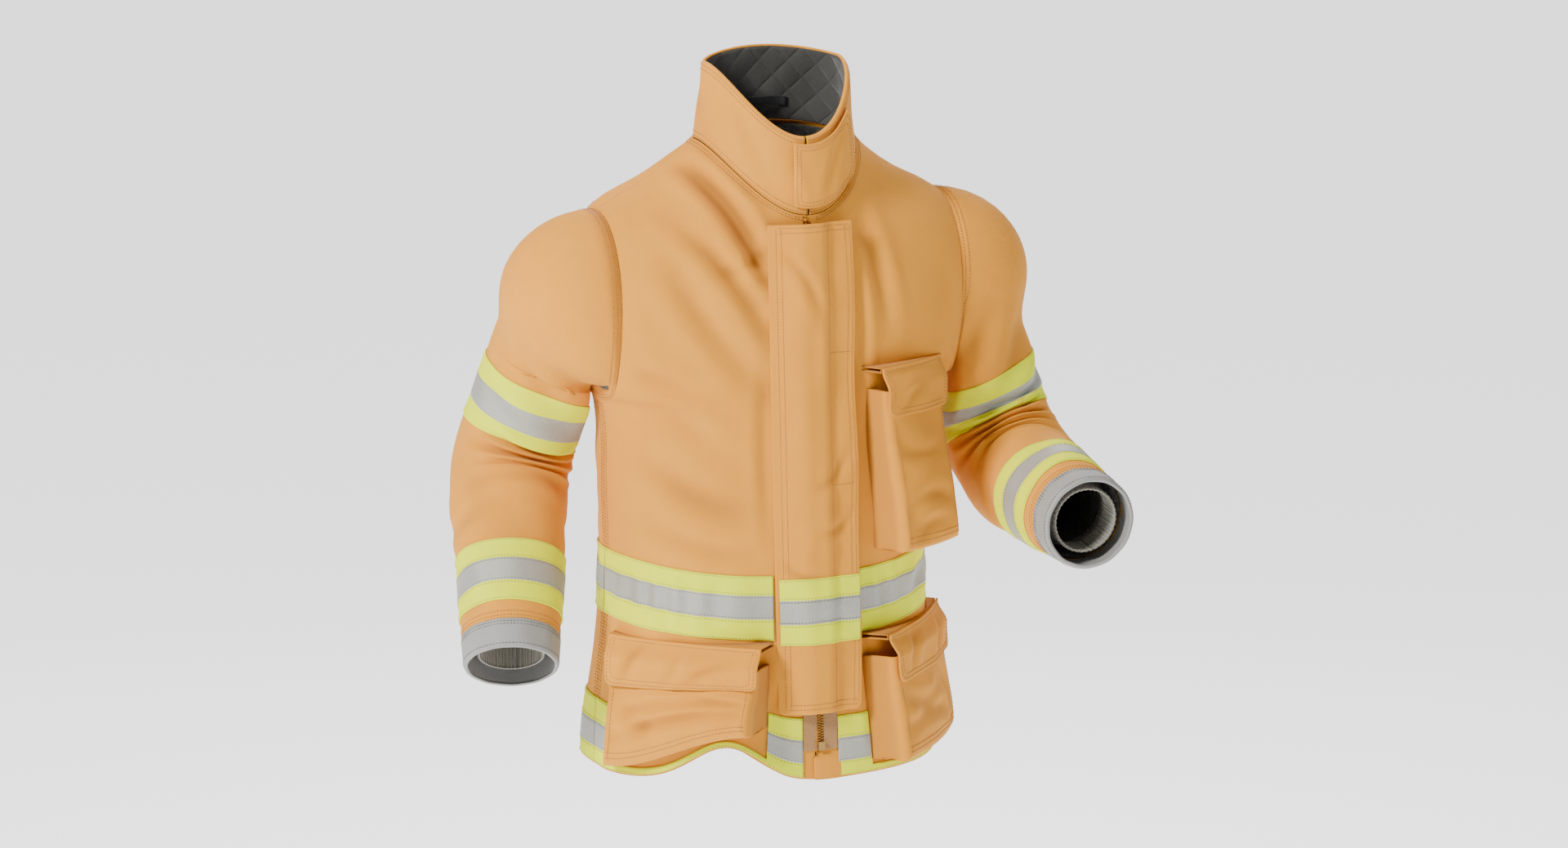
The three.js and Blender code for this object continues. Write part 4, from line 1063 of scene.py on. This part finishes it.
def storm_flap():
    us, rim_u = edged(-1, 1, 46, 0.03)
    ss, rim_s = edged(2, FLAP_LENGTH, 210, 1.5)
    u, s = lattice(us, ss)
    rim = np.minimum(*lattice(rim_u, rim_s))
    x = flap_shape(u, s)
    d, crease = flap_rise(x, s)
    p = closure(x, d, s)
    n = -normals_of(p)
    n = np.where((n @ OUT)[..., None] < 0, -n, n)
    piece = slab("storm_flap", p, n, 0.0028, rim, SHELL, "shell_cloth", wear=crease_shade_of(crease, 4) + 0.12 * (1 - rim))
    attach(piece, "storm_flap", "storm_flap")
    declare(piece, p)

    def row(x, s, thread="shell"):
        x, s = np.broadcast_arrays(np.asarray(x, float), np.asarray(s, float))
        d, _ = flap_rise(x, s)
        e = 0.5
        slope_x = (flap_rise(x + e, s)[0] - flap_rise(x - e, s)[0]) / (2 * e)
        n = unit(OUT - np.array([1.0, 0, 0]) * slope_x[..., None])
        stitch("storm_flap", closure(x, d, s) + n * 0.00155, n, thread)

    s = np.linspace(7, 552, 200)
    for inset in (4, 9.5):
        row(flap_shape(1, s) - inset, s)
    row(-41 + 0 * s, s)
    row(-35.5 + 0 * s, s)
    for level_s in (6, 11.5, 548.5, 554):
        row(np.linspace(-38, 45, 40), level_s)
    for level_s in (150, 300, 440):
        row(np.linspace(18, 45, 20), level_s)
    row(17 + 0 * s, s)
    rim, silver, raise_ = trim_relief(TRIM_ACROSS)
    xs = np.linspace(-45.5, 49.5, 60)
    x, v = lattice(xs, TRIM_ACROSS)
    s = FLAP_TRIM_FOOT - v
    d, crease = flap_rise(x, s)
    p = closure(x, d, s)
    n = normals_of(p)
    n = np.where((n @ OUT)[..., None] < 0, -n, n)
    q = p + n * ((1.5 + 1.2 * rim + raise_)[None, :, None] / 1000)
    tape = sheet_piece("storm_flap_trim", q, TRIM_THICK, TRIM, "lime_trim", wear=crease_shade_of(crease, 4), band=silver)
    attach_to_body(tape, "storm_flap")
    for v in TRIM_ROWS:
        index = np.argmin(np.abs(TRIM_ACROSS - v))
        line = np.array([[np.interp(v, TRIM_ACROSS, q[i, :, k]) for k in range(3)] for i in range(60)])
        stitch("storm_flap", line + OUT * 0.0001, n[:, index], trim_thread(v))


def closure_slab(name, x0, x1, d0, d1, s0, s1, material, slot, body, node, edge=0.6):
    us, rim_u = edged(x0, x1, 6, edge)
    ss, rim_s = edged(s0, s1, 90, edge)
    x, s = lattice(us, ss)
    p = closure(x, (d0 + d1) / 2, s)
    piece = slab(
        name, p, np.broadcast_to(OUT, p.shape), (d1 - d0) / 1000, np.minimum(*lattice(rim_u, rim_s)), material, slot,
        wear=np.zeros(x.shape)
    )
    attach(piece, body, node)
    return piece


storm_flap()
closure_slab("flap_hook_strip", 22, 46, 1.3, 3.1, 14, 546, HOOKS, "fastener_tape", "storm_flap", "flap_hook_strip")
closure_slab("flap_loop_strip", 22, 46, -0.9, 1.0, 14, 546, LOOPS, "fastener_tape", "coat_body", "flap_loop_strip")
for name, side in (("right", -1), ("left", 1)):
    x0, x1 = sorted((side * 3.6, side * 20.6))
    closure_slab(
        "zipper_tape_" + name, x0, x1, 0.7, 1.9, 8, 604, WEBBING, "fastener_tape", "coat_body", "zipper_tape_" + name,
        0.3
    )


def zip_teeth():
    """One cast tooth, beaded at its tip, copied down both tapes."""
    bpy.ops.mesh.primitive_cube_add(size=1)
    tooth = bpy.context.object
    bpy.ops.object.mode_set(mode="EDIT")
    bpy.ops.transform.resize(value=(3.0, 2.3, 1.5))
    bpy.ops.mesh.bevel(offset=0.35, segments=1, affect="EDGES")
    bpy.ops.object.mode_set(mode="OBJECT")
    shape = np.array([v.co[:] for v in tooth.data.vertices])
    faces = [tuple(p.vertices) for p in tooth.data.polygons]
    bpy.data.objects.remove(tooth)
    for name, side, shift in (("right", -1, 0.0), ("left", 1, 1.55)):
        points, polygons = [], []
        for n in range(192):
            s = 9.5 + shift + n * 3.1
            local = shape.copy()
            tip = local[:, 0] * -side > 0
            local[tip, 2] *= 0.8
            points.append(closure(local[:, 0] + side * 1.75, local[:, 1] + 1.75, local[:, 2] + s))
            polygons += [tuple(v + n * len(shape) for v in face) for face in faces]
        piece = mesh_piece("zipper_teeth_" + name, np.concatenate(points), polygons, BRASS, "zip_metal", smooth=False)
        rework(piece, face_outwards)
        attach(piece, "coat_body", "zipper_teeth_" + name)


zip_teeth()


def into_closure(piece):
    """Takes a part modelled flat, x across, y out and z down in millimetres, to its place on the closure."""
    for v in piece.data.vertices:
        v.co = Vector(closure(v.co.x, v.co.y, v.co.z))
    rework(piece, face_outwards)


def zip_slider():
    bpy.ops.mesh.primitive_cube_add(size=1, location=(0, 4.6, 21))
    body = bpy.context.object
    body.name = "zip_slider"
    bpy.ops.object.mode_set(mode="EDIT")
    bpy.ops.transform.resize(value=(11.4, 2.5, 17.6))
    bpy.ops.mesh.subdivide(number_cuts=3)
    bpy.ops.object.mode_set(mode="OBJECT")
    bpy.ops.object.transform_apply(location=True, rotation=True, scale=True)
    for v in body.data.vertices:
        k = (v.co.z - 12) / 18
        v.co.x *= 1.0 - 0.30 * k * k
        v.co.y += 0.5 * (1 - (v.co.x / 5.7) ** 2) if v.co.y > 4.6 else 0
    bevel = body.modifiers.new("edge", "BEVEL")
    bevel.width, bevel.segments, bevel.angle_limit = 0.5, 2, 0.7
    apply_modifiers(body)
    bpy.ops.mesh.primitive_torus_add(
        major_radius=3.1, minor_radius=0.75, major_segments=28, minor_segments=8, location=(0, 6.4, 19),
        rotation=(0, math.pi / 2, 0)
    )
    bail = bpy.context.object
    bpy.ops.object.transform_apply(location=True, rotation=True, scale=True)
    for v in bail.data.vertices:
        v.co.y = max(v.co.y, 5.2)
        v.co.y = 5.2 + (v.co.y - 5.2) * 0.55
    bpy.ops.object.select_all(action="DESELECT")
    bail.select_set(True)
    body.select_set(True)
    bpy.context.view_layer.objects.active = body
    bpy.ops.object.join()
    into_closure(body)
    bpy.ops.mesh.primitive_cylinder_add(
        vertices=40, radius=1, depth=1.6, location=(0, 7.2, 38), rotation=(math.pi / 2, 0, 0)
    )
    pull = bpy.context.object
    pull.name = "zip_pull"
    bpy.ops.object.transform_apply(location=True, rotation=True, scale=True)
    for v in pull.data.vertices:
        z = v.co.z - 38
        v.co.x *= 4.4 + 0.5 * z
        v.co.z = 38 + z * 17
    bpy.ops.object.mode_set(mode="EDIT")
    bpy.ops.mesh.select_all(action="DESELECT")
    bpy.ops.object.mode_set(mode="OBJECT")
    for face in pull.data.polygons:
        face.select = len(face.vertices) > 8
    bpy.ops.object.mode_set(mode="EDIT")
    bpy.ops.mesh.inset(thickness=1.1, depth=-0.35)
    bpy.ops.object.mode_set(mode="OBJECT")
    into_closure(pull)
    for piece, node in ((body, "zipper_slider"), (pull, "zipper_pull")):
        piece.data.materials.clear()
        piece.data.materials.append(BRASS)
        attach(piece, "zipper_slider", node)
        piece.data.polygons.foreach_set("use_smooth", [True] * len(piece.data.polygons))
        bpy.ops.object.select_all(action="DESELECT")
        piece.select_set(True)
        bpy.context.view_layer.objects.active = piece
        bpy.ops.object.shade_smooth_by_angle(angle=0.7)
        bpy.ops.object.select_all(action="DESELECT")


zip_slider()
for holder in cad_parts["zipper_bottom_stop"].material_slots:
    holder.material = BRASS

# ------------------------------------------------------------------ pockets

shell_tree = {
    name: BVHTree.FromObject(shell_panels[name], bpy.context.evaluated_depsgraph_get()) for name in shell_panels
}


def on_shell(pocket, a, h):
    """How far out the shell is behind a place on a pocket, in the pocket's own frame, in millimetres."""
    tree = shell_tree["front_panel_right" if pocket.side < 0 else "front_panel_left"]
    start = pocket.place(np.array(a), np.array(90.0), np.array(h))
    way = Vector(-pocket.out)
    hit = tree.ray_cast(Vector(start), way, 0.22)
    return 90.0 - hit[3] * 1000 if hit[0] is not None else -40.0


def pocket_body(pocket, folds, rows):
    """The pocket's face, side and foot gussets as one cloth shell that is open at its mouth."""
    w, low, high, r = pocket.width / 2, -pocket.height, -27.0, 6.0
    bend = np.linspace(0, math.pi / 2, 6)
    side_a = np.r_[np.full(5, w), w - r + r * np.cos(bend)]
    side_k = np.r_[np.linspace(0, 0.82, 5), 0.82 + 0.18 * np.sin(bend)]
    face_a = np.linspace(-w + r, w - r, 60)[1:-1]
    a = np.r_[-side_a, face_a, side_a[::-1]]
    ka = np.r_[side_k, np.ones(58), side_k[::-1]]
    foot_h = np.r_[np.full(5, low), low + r - r * np.cos(bend)]
    h = np.r_[foot_h, np.linspace(low + r, high, 56)[1:]]
    kh = np.r_[side_k, np.ones(55)]
    A, H = lattice(a, h)
    K = np.minimum(*lattice(ka, kh))

    def lie(a, h):
        fold = fold_height(a, h, folds) + unevenness(a * 1.3, h * 1.6, 60, 1.1)
        fade = ease((w - np.abs(a)) / 14) * ease((h - low) / 14) * ease((high - h + 4) / 26)
        puff = 3.2 * (1 - (a / w) ** 2) * np.sin(np.clip((high - h) / (high - low), 0, 1) * math.pi)
        return pocket.face(a, h) + fold * fade + puff * 0.6, fold, fade

    face, fold, fade = lie(A, H)
    back = np.zeros(A.shape)
    for i in range(A.shape[0]):
        for j in range(A.shape[1]):
            if K[i, j] < 0.999:
                back[i, j] = on_shell(pocket, A[i, j], H[i, j]) + 0.6
    gusset = 2.0 * np.sin(np.clip(K, 0, 0.82) / 0.82 * math.pi)
    O = np.where(K < 0.999, mix(back, np.maximum(face, back + 0.5), K), face)
    inward = gusset * (K < 0.9)
    A2 = A - np.sign(A) * inward * (np.abs(A) > w - 1)
    p = pocket.place(A2, O, H)
    # Painted crease shade in the pocket's folds; darker also on the gussets and towards its edges.
    wear = crease_shade_of(fold * fade, 6) + 0.16 * (K < 0.7) + 0.05 * (1 - fade)
    piece = grid_piece(pocket.name, p, SHELL, "shell_cloth", wear)

    def close_corners(work):
        bmesh.ops.remove_doubles(work, verts=work.verts[:], dist=5e-5)
        bmesh.ops.dissolve_degenerate(work, edges=work.edges[:], dist=2e-5)

    rework(piece, close_corners)
    thicken(piece, 0.0020)
    attach(piece, "coat_body", pocket.name)

    def row(a, h):
        a, h = np.broadcast_arrays(np.asarray(a, float), np.asarray(h, float))
        stitch("coat_body", pocket.place(a, lie(a, h)[0] + 0.25, h), np.broadcast_to(pocket.out, a.shape + (3,)))

    for inset in rows:
        row(np.linspace(-w + 4, w - 4, 60), low + r + inset)
    for side in (-1, 1):
        row(side * (w - 7.5), np.linspace(low + 8, -60, 60))


def pocket_flap(pocket, folds, flap_name, body):
    w = pocket.width / 2 + 4
    corner = 11.0
    us, rim_u = edged(-1, 1, 52, 0.02)
    hs, rim_h = edged(-pocket.flap, 0, 34, 1.4)
    u, h = lattice(us, hs)
    rim = np.minimum(*lattice(rim_u, rim_h))

    def shape(u, h):
        near = np.clip((-h - (pocket.flap - corner)) / corner, 0, 1)
        return u * (w - corner * (1 - np.sqrt(1 - near**2)))

    def lie(a, h):
        bend = -pocket.bow * (a / (pocket.width / 2)) ** 2
        root = ease((-h - 4) / 22)
        fold = fold_height(a, h, folds)
        live = ease(-h / 18) * ease((w - np.abs(a)) / 10 + 0.3)
        return mix(
            1.7 + bend, pocket.face(a, h) + 4.6, root
        ) + fold * live + 0.9 * np.sin(a / 17 + 1) * ease((-h - 30) / 26), fold

    a = shape(u, h)
    o, fold = lie(a, h)
    p = pocket.place(a, o, h)
    n = normals_of(p)
    n = np.where((n @ pocket.out)[..., None] < 0, -n, n)
    piece = slab(flap_name, p, n, 0.0028, rim, SHELL, "shell_cloth", wear=crease_shade_of(fold, 4) + 0.12 * (1 - rim))
    attach(piece, body, flap_name)
    declare(piece, p)

    def row(a, h):
        a, h = np.broadcast_arrays(np.asarray(a, float), np.asarray(h, float))
        o, _ = lie(a, h)
        stitch(body, pocket.place(a, o + 1.55, h), np.broadcast_to(pocket.out, a.shape + (3,)))

    for inset in (3.5, 8.5):
        b = corner * 0.8
        row(np.linspace(-w + inset + b, w - inset - b, 50), -pocket.flap + inset)
        for side in (-1, 1):
            row(side * (w - inset), np.linspace(-pocket.flap + inset + b, -5, 26))
            arc = np.linspace(0, math.pi / 2, 10)
            row(side * (w - inset - b + b * np.sin(arc)), -pocket.flap + inset + b - b * np.cos(arc))
    row(np.linspace(-w + 4, w - 4, 50), -4)
    seam_a, _ = edged(-w, w, 40, 1.0)
    seam_h, _ = edged(-6, -0.2, 5, 0.8)
    a, h = lattice(seam_a, seam_h)
    back = np.array([on_shell(pocket, x, -3.0) for x in seam_a])[:, None] + 0 * a
    inside = np.clip(-pocket.bow * (a / (pocket.width / 2)) ** 2 - 0.6, back + 0.6, None)
    layers = np.stack([pocket.place(a, mix(back, inside, k), h) for k in (0, 0.5, 1)], 0)
    p = np.concatenate([layers[:, :, 0].transpose(1, 0, 2), layers[:, :, -1].transpose(1, 0, 2)[:, ::-1]], 1)
    # Evenly darkened: painted shade under the flap's root.
    strip = sheet_piece(flap_name + "_seam", p, 0.0012, SHELL, "shell_cloth", wear=0.2)
    attach(strip, "coat_body", flap_name + "_seam")
    return piece


def pocket_strip(pocket):
    us, rim_u = edged(-pocket.width / 2 + 22, pocket.width / 2 - 22, 20, 1.0)
    hs, rim_h = edged(8 - pocket.flap, 26 - pocket.flap, 8, 1.0)
    a, h = lattice(us, hs)
    p = pocket.place(a, pocket.face(a, h) + 1.5, h)
    piece = slab(
        pocket.name + "_loop_strip", p, np.broadcast_to(pocket.out, p.shape), 0.0013,
        np.minimum(*lattice(rim_u, rim_h)), LOOPS, "fastener_tape", wear=np.zeros(a.shape)
    )
    attach(piece, "coat_body", pocket.name + "_loop_strip")


pocket_body(
    hip_right,
    [
        ([(-84, -92), (-20, -78), (60, -86)], 7, 3.4), ([(-86, -118), (-10, -100), (84, -112)], 8, 4.2),
        ([(20, -66), (56, -84), (86, -90)], 7, 2.4), ([(-80, -66), (-40, -104), (-20, -130)], 9, 2.4)
    ],
    (4.0, 10.0)
)
pocket_body(
    hip_left,
    [
        ([(-80, -74), (-30, -90), (20, -84)], 8, 3.6), ([(-84, -112), (-20, -104), (60, -120)], 8, 3.4),
        ([(40, -60), (60, -96), (70, -130)], 9, 2.6)
    ],
    (4.0, 10.0)
)
pocket_body(
    chest,
    [
        ([(-46, -90), (-10, -104), (40, -98)], 8, 2.4), ([(-44, -160), (0, -150), (46, -166)], 9, 2.8),
        ([(-30, -196), (0, -180), (36, -190)], 8, 2.0)
    ],
    (4.0, 10.0)
)
for pocket in (hip_right, hip_left, chest):
    pocket_strip(pocket)
pocket_flap(
    hip_right,
    [
        ([(-70, -50), (-60, -24), (-40, -6)], 8, 3.0), ([(10, -52), (30, -30), (70, -20)], 8, 2.6),
        ([(-20, -50), (-6, -30), (0, -10)], 8, 1.6)
    ],
    "hip_pocket_flap_right", "hip_pocket_flap_right"
)
pocket_flap(
    hip_left, [([(-60, -50), (-50, -24), (-30, -6)], 8, 2.6), ([(30, -52), (40, -30), (60, -10)], 8, 2.4)],
    "hip_pocket_flap_left", "hip_pocket_flap_left"
)
pocket_flap(chest, [([(-30, -50), (-10, -30), (20, -22)], 8, 2.0)], "chest_pocket_flap", "chest_pocket_flap")

# ------------------------------------------------------------------ sleeves

ARMS = {
    "right": (-1, (-190, 20, -100), (-280, 100, -372), (-335, -60, -575)),
    "left": (1, (190, 0, -105), (295, 0, -400), (285, -265, -420))
}


SLEEVE_RADII = [72, 67, 67, 61, 53]
CUFF_LENGTH = 34


class Sleeve:
    """A sleeve's surface: phi runs round it (0 towards the back, a quarter turn is up) and s along it, in millimetres."""

    def __init__(self, name):
        self.name = name
        self.side, shoulder, elbow, wrist = ARMS[name]
        shoulder, self.elbow, wrist = (np.array(p, float) for p in (shoulder, elbow, wrist))
        self.upper, self.fore = unit(self.elbow - shoulder), unit(wrist - self.elbow)
        bend = math.acos(float(np.clip(self.upper @ self.fore, -1, 1)))
        tangent = 95 * math.tan(bend / 2)
        start = np.array([self.side * (ARMHOLE_X + 0.6), ARMHOLE_Y, ARMHOLE_Z])
        cap = self.elbow - self.upper * 128
        reach = np.linalg.norm(start - cap) * 0.36
        k = np.linspace(0, 1, 60)[:, None]
        b1, b2 = start + np.array([self.side * reach * 0.62, 0, 0]), cap - self.upper * reach
        first = (1 - k) ** 3 * start + 3 * k * (1 - k) ** 2 * b1 + 3 * k * k * (1 - k) * b2 + k**3 * cap
        into, out = self.elbow - self.upper * tangent, self.elbow + self.fore * tangent
        axis = unit(np.cross(self.upper, self.fore))
        centre = self.elbow + unit(self.fore - self.upper) * (95 / math.cos(bend / 2))
        arc = []
        for a in np.linspace(0, bend, 24):
            v = into - centre
            arc.append(
                centre + v * math.cos(a) + np.cross(axis, v) * math.sin(a) + axis * (axis @ v) * (1 - math.cos(a))
            )
        line = np.concatenate([
            first, mix(cap, into, np.linspace(0, 1, 12)[1:, None]), np.array(arc)[1:],
            mix(out, wrist, np.linspace(0, 1, 40)[1:, None])
        ])
        lengths = np.r_[0, np.cumsum(np.linalg.norm(np.diff(line, axis=0), axis=1))]
        self.cap = lengths[59]
        self.length = lengths[-1]
        at = lambda p: lengths[np.argmin(np.linalg.norm(line - p, axis=1))]
        l1, l2 = at(into), at(out)
        half = (l1 + l2) / 2
        round_ = (half - l1) / tangent
        self.above = lambda d: l1 + tangent - d if d > tangent else half - d * round_
        self.below = lambda d: l2 - tangent + d if d > tangent else half + d * round_
        self.s = np.linspace(0, self.length, 400)
        self.line = np.stack([np.interp(self.s, lengths, line[:, i]) for i in range(3)], 1)
        self.line = np.concatenate([
            self.line[:1], (self.line[:-2] + 2 * self.line[1:-1] + self.line[2:]) / 4, self.line[-1:]
        ])
        ahead = unit(np.gradient(self.line, axis=0))
        ahead[0] = (self.side, 0, 0)
        back, backs = np.array([0, 1.0, 0]), []
        for way in ahead:
            back = unit(back - way * (back @ way))
            backs.append(back)
        self.back = np.array(backs)
        self.up = np.cross(ahead, self.back) * self.side
        self.inside = unit(self.fore - self.upper)
        t = np.linspace(4, 12, 4000)
        t = t[level(0, t) >= ARMHOLE_X]
        theta = np.arccos((ARMHOLE_X / level(0, t)) ** (level(5, t) / 2))
        rim = np.concatenate([bare_body(sign * theta, t) for sign in (-1, 1)])
        phi, r = np.arctan2(
            rim[:, 2] - ARMHOLE_Z, rim[:, 1] - ARMHOLE_Y
        ), np.hypot(rim[:, 1] - ARMHOLE_Y, rim[:, 2] - ARMHOLE_Z)
        order = np.argsort(phi)
        self.edge_phi, self.edge_r = phi[order], r[order]
        self.stations = [self.cap, self.above(58.8), self.below(58.8), self.below(138), self.length]

    def fold(self, phi, s):
        e = self.above(0)
        inner = math.atan2(float(self.up[200] @ self.inside), float(self.back[200] @ self.inside))
        turn = np.angle(np.exp(1j * (phi - inner)))
        a, b = turn * 66, s
        lines = [
            ([(-70, e - 46), (0, e - 22), (74, e - 44)], 8, 6.0), ([(-80, e - 14), (0, e + 2), (70, e - 20)], 8, 8.0),
            ([(-66, e + 20), (6, e + 24), (80, e + 8)], 8, 6.5), ([(-78, e + 56), (0, e + 46), (60, e + 60)], 9, 4.0),
            ([(-100, e - 96), (-30, e - 62), (40, e - 76)], 11, 4.5), ([(40, e - 130), (90, e - 90), (130, e - 40)], 12, 3.5),
            ([(-30, 30), (20, 84), (84, 120)], 14, 4.0), ([(-60, 60), (-20, 130), (60, 190)], 16, 4.0), (
                [(96, 60), (120, 110), (170, 150)], 18, 2.8
            ), ([(-150, e - 70), (-170, e - 10), (-140, e + 40)], 12, 3.0),
            ([(120, e + 10), (160, e + 40), (190, e + 30)], 11, 3.4), (
                [(-150, e + 80), (-110, e + 96), (-60, e + 84)], 10, 3.0
            ), ([(60, e + 84), (110, e + 100), (170, e + 92)], 10, 2.8)]
        height = fold_height(a, b, lines) + unevenness(
            80 * np.cos(phi) + self.side * 300, s + 80 * np.sin(phi), 74, 1.3
        )
        calm = ease(s / 30) * ease((self.length - 36 - s) / 24)
        return np.clip(height, -9, 5) * calm

    def skin(self, phi, s, offset=0.0, folded=True):
        phi, s = np.broadcast_arrays(np.asarray(phi, float), np.asarray(s, float))
        pick = lambda v: np.stack([np.interp(s, self.s, v[:, i]) for i in range(3)], -1)
        point, back, up = pick(self.line), unit(pick(self.back)), unit(pick(self.up))
        wrapped = np.arctan2(np.sin(phi), np.cos(phi))
        edge = np.interp(wrapped, self.edge_phi, self.edge_r, period=TAU)
        tube = np.interp(s, self.stations, SLEEVE_RADII)
        r = mix(edge, tube, ease(1.25 * s / self.cap))
        fold = self.fold(phi, s) if folded else np.zeros(s.shape)
        r = r + fold + offset
        p = point + back * (r * np.cos(phi))[..., None] + up * (r * np.sin(phi))[..., None]
        wall = 207.4 + (4 - offset * 0.5) * ease(s / 14)
        soft = 0.05 + 6 * ease(s / 24)
        over = wall - self.side * p[..., 0]
        p[..., 0] = self.side * np.where(
            over > -soft, wall + soft * np.exp(np.clip(-(over + soft) / soft, -20, 0)), self.side * p[..., 0]
        )
        out = unit(back * np.cos(phi)[..., None] + up * np.sin(phi)[..., None])
        return p / 1000, out, fold

    def tube(self, name, s0, s1, rows, offset, thick, material, slot, around=120, extra=None, shade_and_wear_extra=0.0):
        phi, s = lattice(np.linspace(0, TAU, around + 1)[:-1], np.linspace(s0, s1, rows) if np.isscalar(rows) else rows)
        p, out, fold = self.skin(phi, s, offset if extra is None else offset + extra(phi, s))
        sign = facing_of(p, out)
        piece = sheet_piece(
            name, p, thick, material, slot, ring=True, wear=crease_shade_of(fold, 7) + shade_and_wear_extra, turn=sign < 0
        )
        if material in (SHELL, LINING):
            declare(piece, np.concatenate([p, p[:1]]))
        return piece, p

    def row(self, body, s, offset, thread="shell"):
        phi = np.linspace(0, TAU, 181)
        p, out, _ = self.skin(phi, s, offset)
        stitch(body, p, out, thread)

    def seam_row(self, body, inset):
        """A stitched row that keeps its distance from the armhole seam."""
        phi, s = lattice(np.linspace(0, TAU, 181), np.linspace(0, 60, 121))
        p, _, _ = self.skin(phi, s, 0.3)
        run = np.concatenate(
            [np.zeros((181, 1)), np.cumsum(np.linalg.norm(np.diff(p, axis=1), axis=2), axis=1)], 1
        ) * 1000
        at = np.array([np.interp(inset, line, s[0]) for line in run])
        p, out, _ = self.skin(phi[:, 0], at, 0.3)
        stitch(body, p, out)

    def bend_points(self):
        start, end = self.elbow - self.upper * 100, self.elbow + self.fore * 108
        return tuple(start / 1000), tuple(end / 1000)


def facing_of(p, out):
    """Below zero if the grid's own normals point into the sleeve."""
    return np.sum(np.cross(np.roll(p, -1, 0) - p, np.gradient(p, axis=1)) * out)


def sleeves():
    for name in ("right", "left"):
        sleeve = Sleeve(name)
        upper, lower = "upper_sleeve_" + name, "lower_sleeve_" + name
        start, end = sleeve.bend_points()
        cuff_start = sleeve.length - CUFF_LENGTH
        rows = np.r_[np.linspace(0, 12, 6), np.linspace(15, cuff_start - 0.6, 190)]
        shell, _ = sleeve.tube("sleeve_" + name, 0, 0, rows, 0, 0.0026, SHELL, "shell_cloth", 150)
        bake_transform(shell)
        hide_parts(upper, "elbow_sleeve_" + name, lower)
        lining, _ = sleeve.tube("sleeve_lining_" + name, 12, cuff_start, 90, -4.6, 0.0022, LINING, "lining", 72)
        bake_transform(lining)
        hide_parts("upper_liner_" + name, "elbow_liner_" + name, "lower_liner_" + name)
        cuff_rows = cuff_start + np.array([0, 0.6, 3, 8, 14, 20, 26, 30, 32.6, 33.6, 34.0])
        belly = lambda phi, s: 0.7 * np.sin(
            np.clip((s - cuff_start) / CUFF_LENGTH, 0, 1) * math.pi
        ) - 1.2 * (s > sleeve.length - 0.5) + 0.25 * np.sin(phi * 11)
        cuff, _ = sleeve.tube("cuff_" + name, 0, 0, cuff_rows, 0.5, 0.0034, CUFF, "cuff_grey", 120, belly, 0.05)
        attach(cuff, lower, "cuff_" + name)
        for s in (cuff_start + 3.2, cuff_start + 6.8, sleeve.length - 4):
            sleeve.row(lower, s, 1.0, "cuff")
        rim, silver, raise_ = trim_relief(TRIM_ACROSS)
        trim_end = sleeve.above(34)
        for part, s0, body in (
            ("upper_trim_", trim_end - TRIM_WIDE, None), ("lower_trim_", sleeve.length - 56 - TRIM_WIDE, lower)
        ):
            phi, v = lattice(np.linspace(0, TAU, 141)[:-1], TRIM_ACROSS)
            p, out, fold = sleeve.skin(phi, s0 + v, 0.5 + 1.3 * rim[None] + raise_[None])
            sign = facing_of(p, out)
            trim = sheet_piece(
                part + name, p, TRIM_THICK, TRIM, "lime_trim", ring=True, wear=crease_shade_of(fold, 7), band=silver[None],
                turn=sign < 0
            )
            if body:
                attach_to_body(trim, body)
                for v in TRIM_ROWS:
                    sleeve.row(lower, s0 + v, 1.95, trim_thread(v))
            else:
                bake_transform(trim)
            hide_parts(part + name)
        for inset in (4.0, 9.5):
            sleeve.seam_row(upper, inset)
        for s in (cuff_start - 4, cuff_start - 9):
            sleeve.row(lower, s, 0.3)
        mouth = sleeve.length - 14
        begin = mouth - 70
        hug = lambda s: mix(-8.0, 38 - np.interp(s, sleeve.stations, SLEEVE_RADII), ease((s - begin) / 42))
        grid_s = np.r_[np.linspace(begin, mouth - 4, 46), mouth - 2.6, mouth - 1.2, mouth - 0.3, mouth]
        phi, s = lattice(np.linspace(0, TAU, 161)[:-1], grid_s)
        ribs = 0.7 * np.abs(np.sin(phi * 20)) * ease((s - begin) / 20)
        p, out, _ = sleeve.skin(phi, s, hug(s) + ribs - 0.9 * (s > mouth - 0.5), folded=False)
        sign = facing_of(p, out)
        wrist = sheet_piece(
            "wristlet_" + name, p, 0.0022, KNIT, "wristlet_knit", ring=True, wear=np.zeros(p.shape[:2]), turn=sign < 0
        )
        attach(wrist, lower, "wristlet_" + name)


sleeves()

# ------------------------------------------------------------------ drag handle


def back_patch(name, half, t0, t1, offset, thick, material, slot, body, node, rows=()):
    us, rim_u = edged(math.pi / 2 - half, math.pi / 2 + half, 34, 0.012)
    ts, rim_t = edged(t0, t1, 22, 0.03)
    a, t = lattice(us, ts)
    rim = np.minimum(*lattice(rim_u, rim_t))
    p, n, _ = skin(a, t, offset + thick / 2)
    piece = slab(name, p, n, thick / 1000, rim, material, slot, wear=0.1 * (1 - rim))
    attach(piece, body, node)
    for inset in rows:
        k = inset / 130
        for height in (t0 + k * 2.2, t1 - k * 2.2):
            q, n, _ = skin(
                np.linspace(math.pi / 2 - half + k, math.pi / 2 + half - k, 40), height, offset + thick + 0.1
            )
            stitch(body, q, n)
        for side in (-1, 1):
            q, n, _ = skin(
                math.pi / 2 + side * (half - k), np.linspace(t0 + k * 2.2, t1 - k * 2.2, 30), offset + thick + 0.1
            )
            stitch(body, q, n)


back_patch("drag_handle", 0.216, 7.45, 8.05, 0.6, 2.8, BINDING, "fastener_tape", "coat_body", "drag_handle")
back_patch(
    "drag_handle_flap", 0.27, 7.2, 8.3, 4.4, 2.9, SHELL, "shell_cloth", "drag_handle_flap", "drag_handle_flap",
    (3.5, 8.5)
)

make_stitches()
bpy.context.view_layer.update()
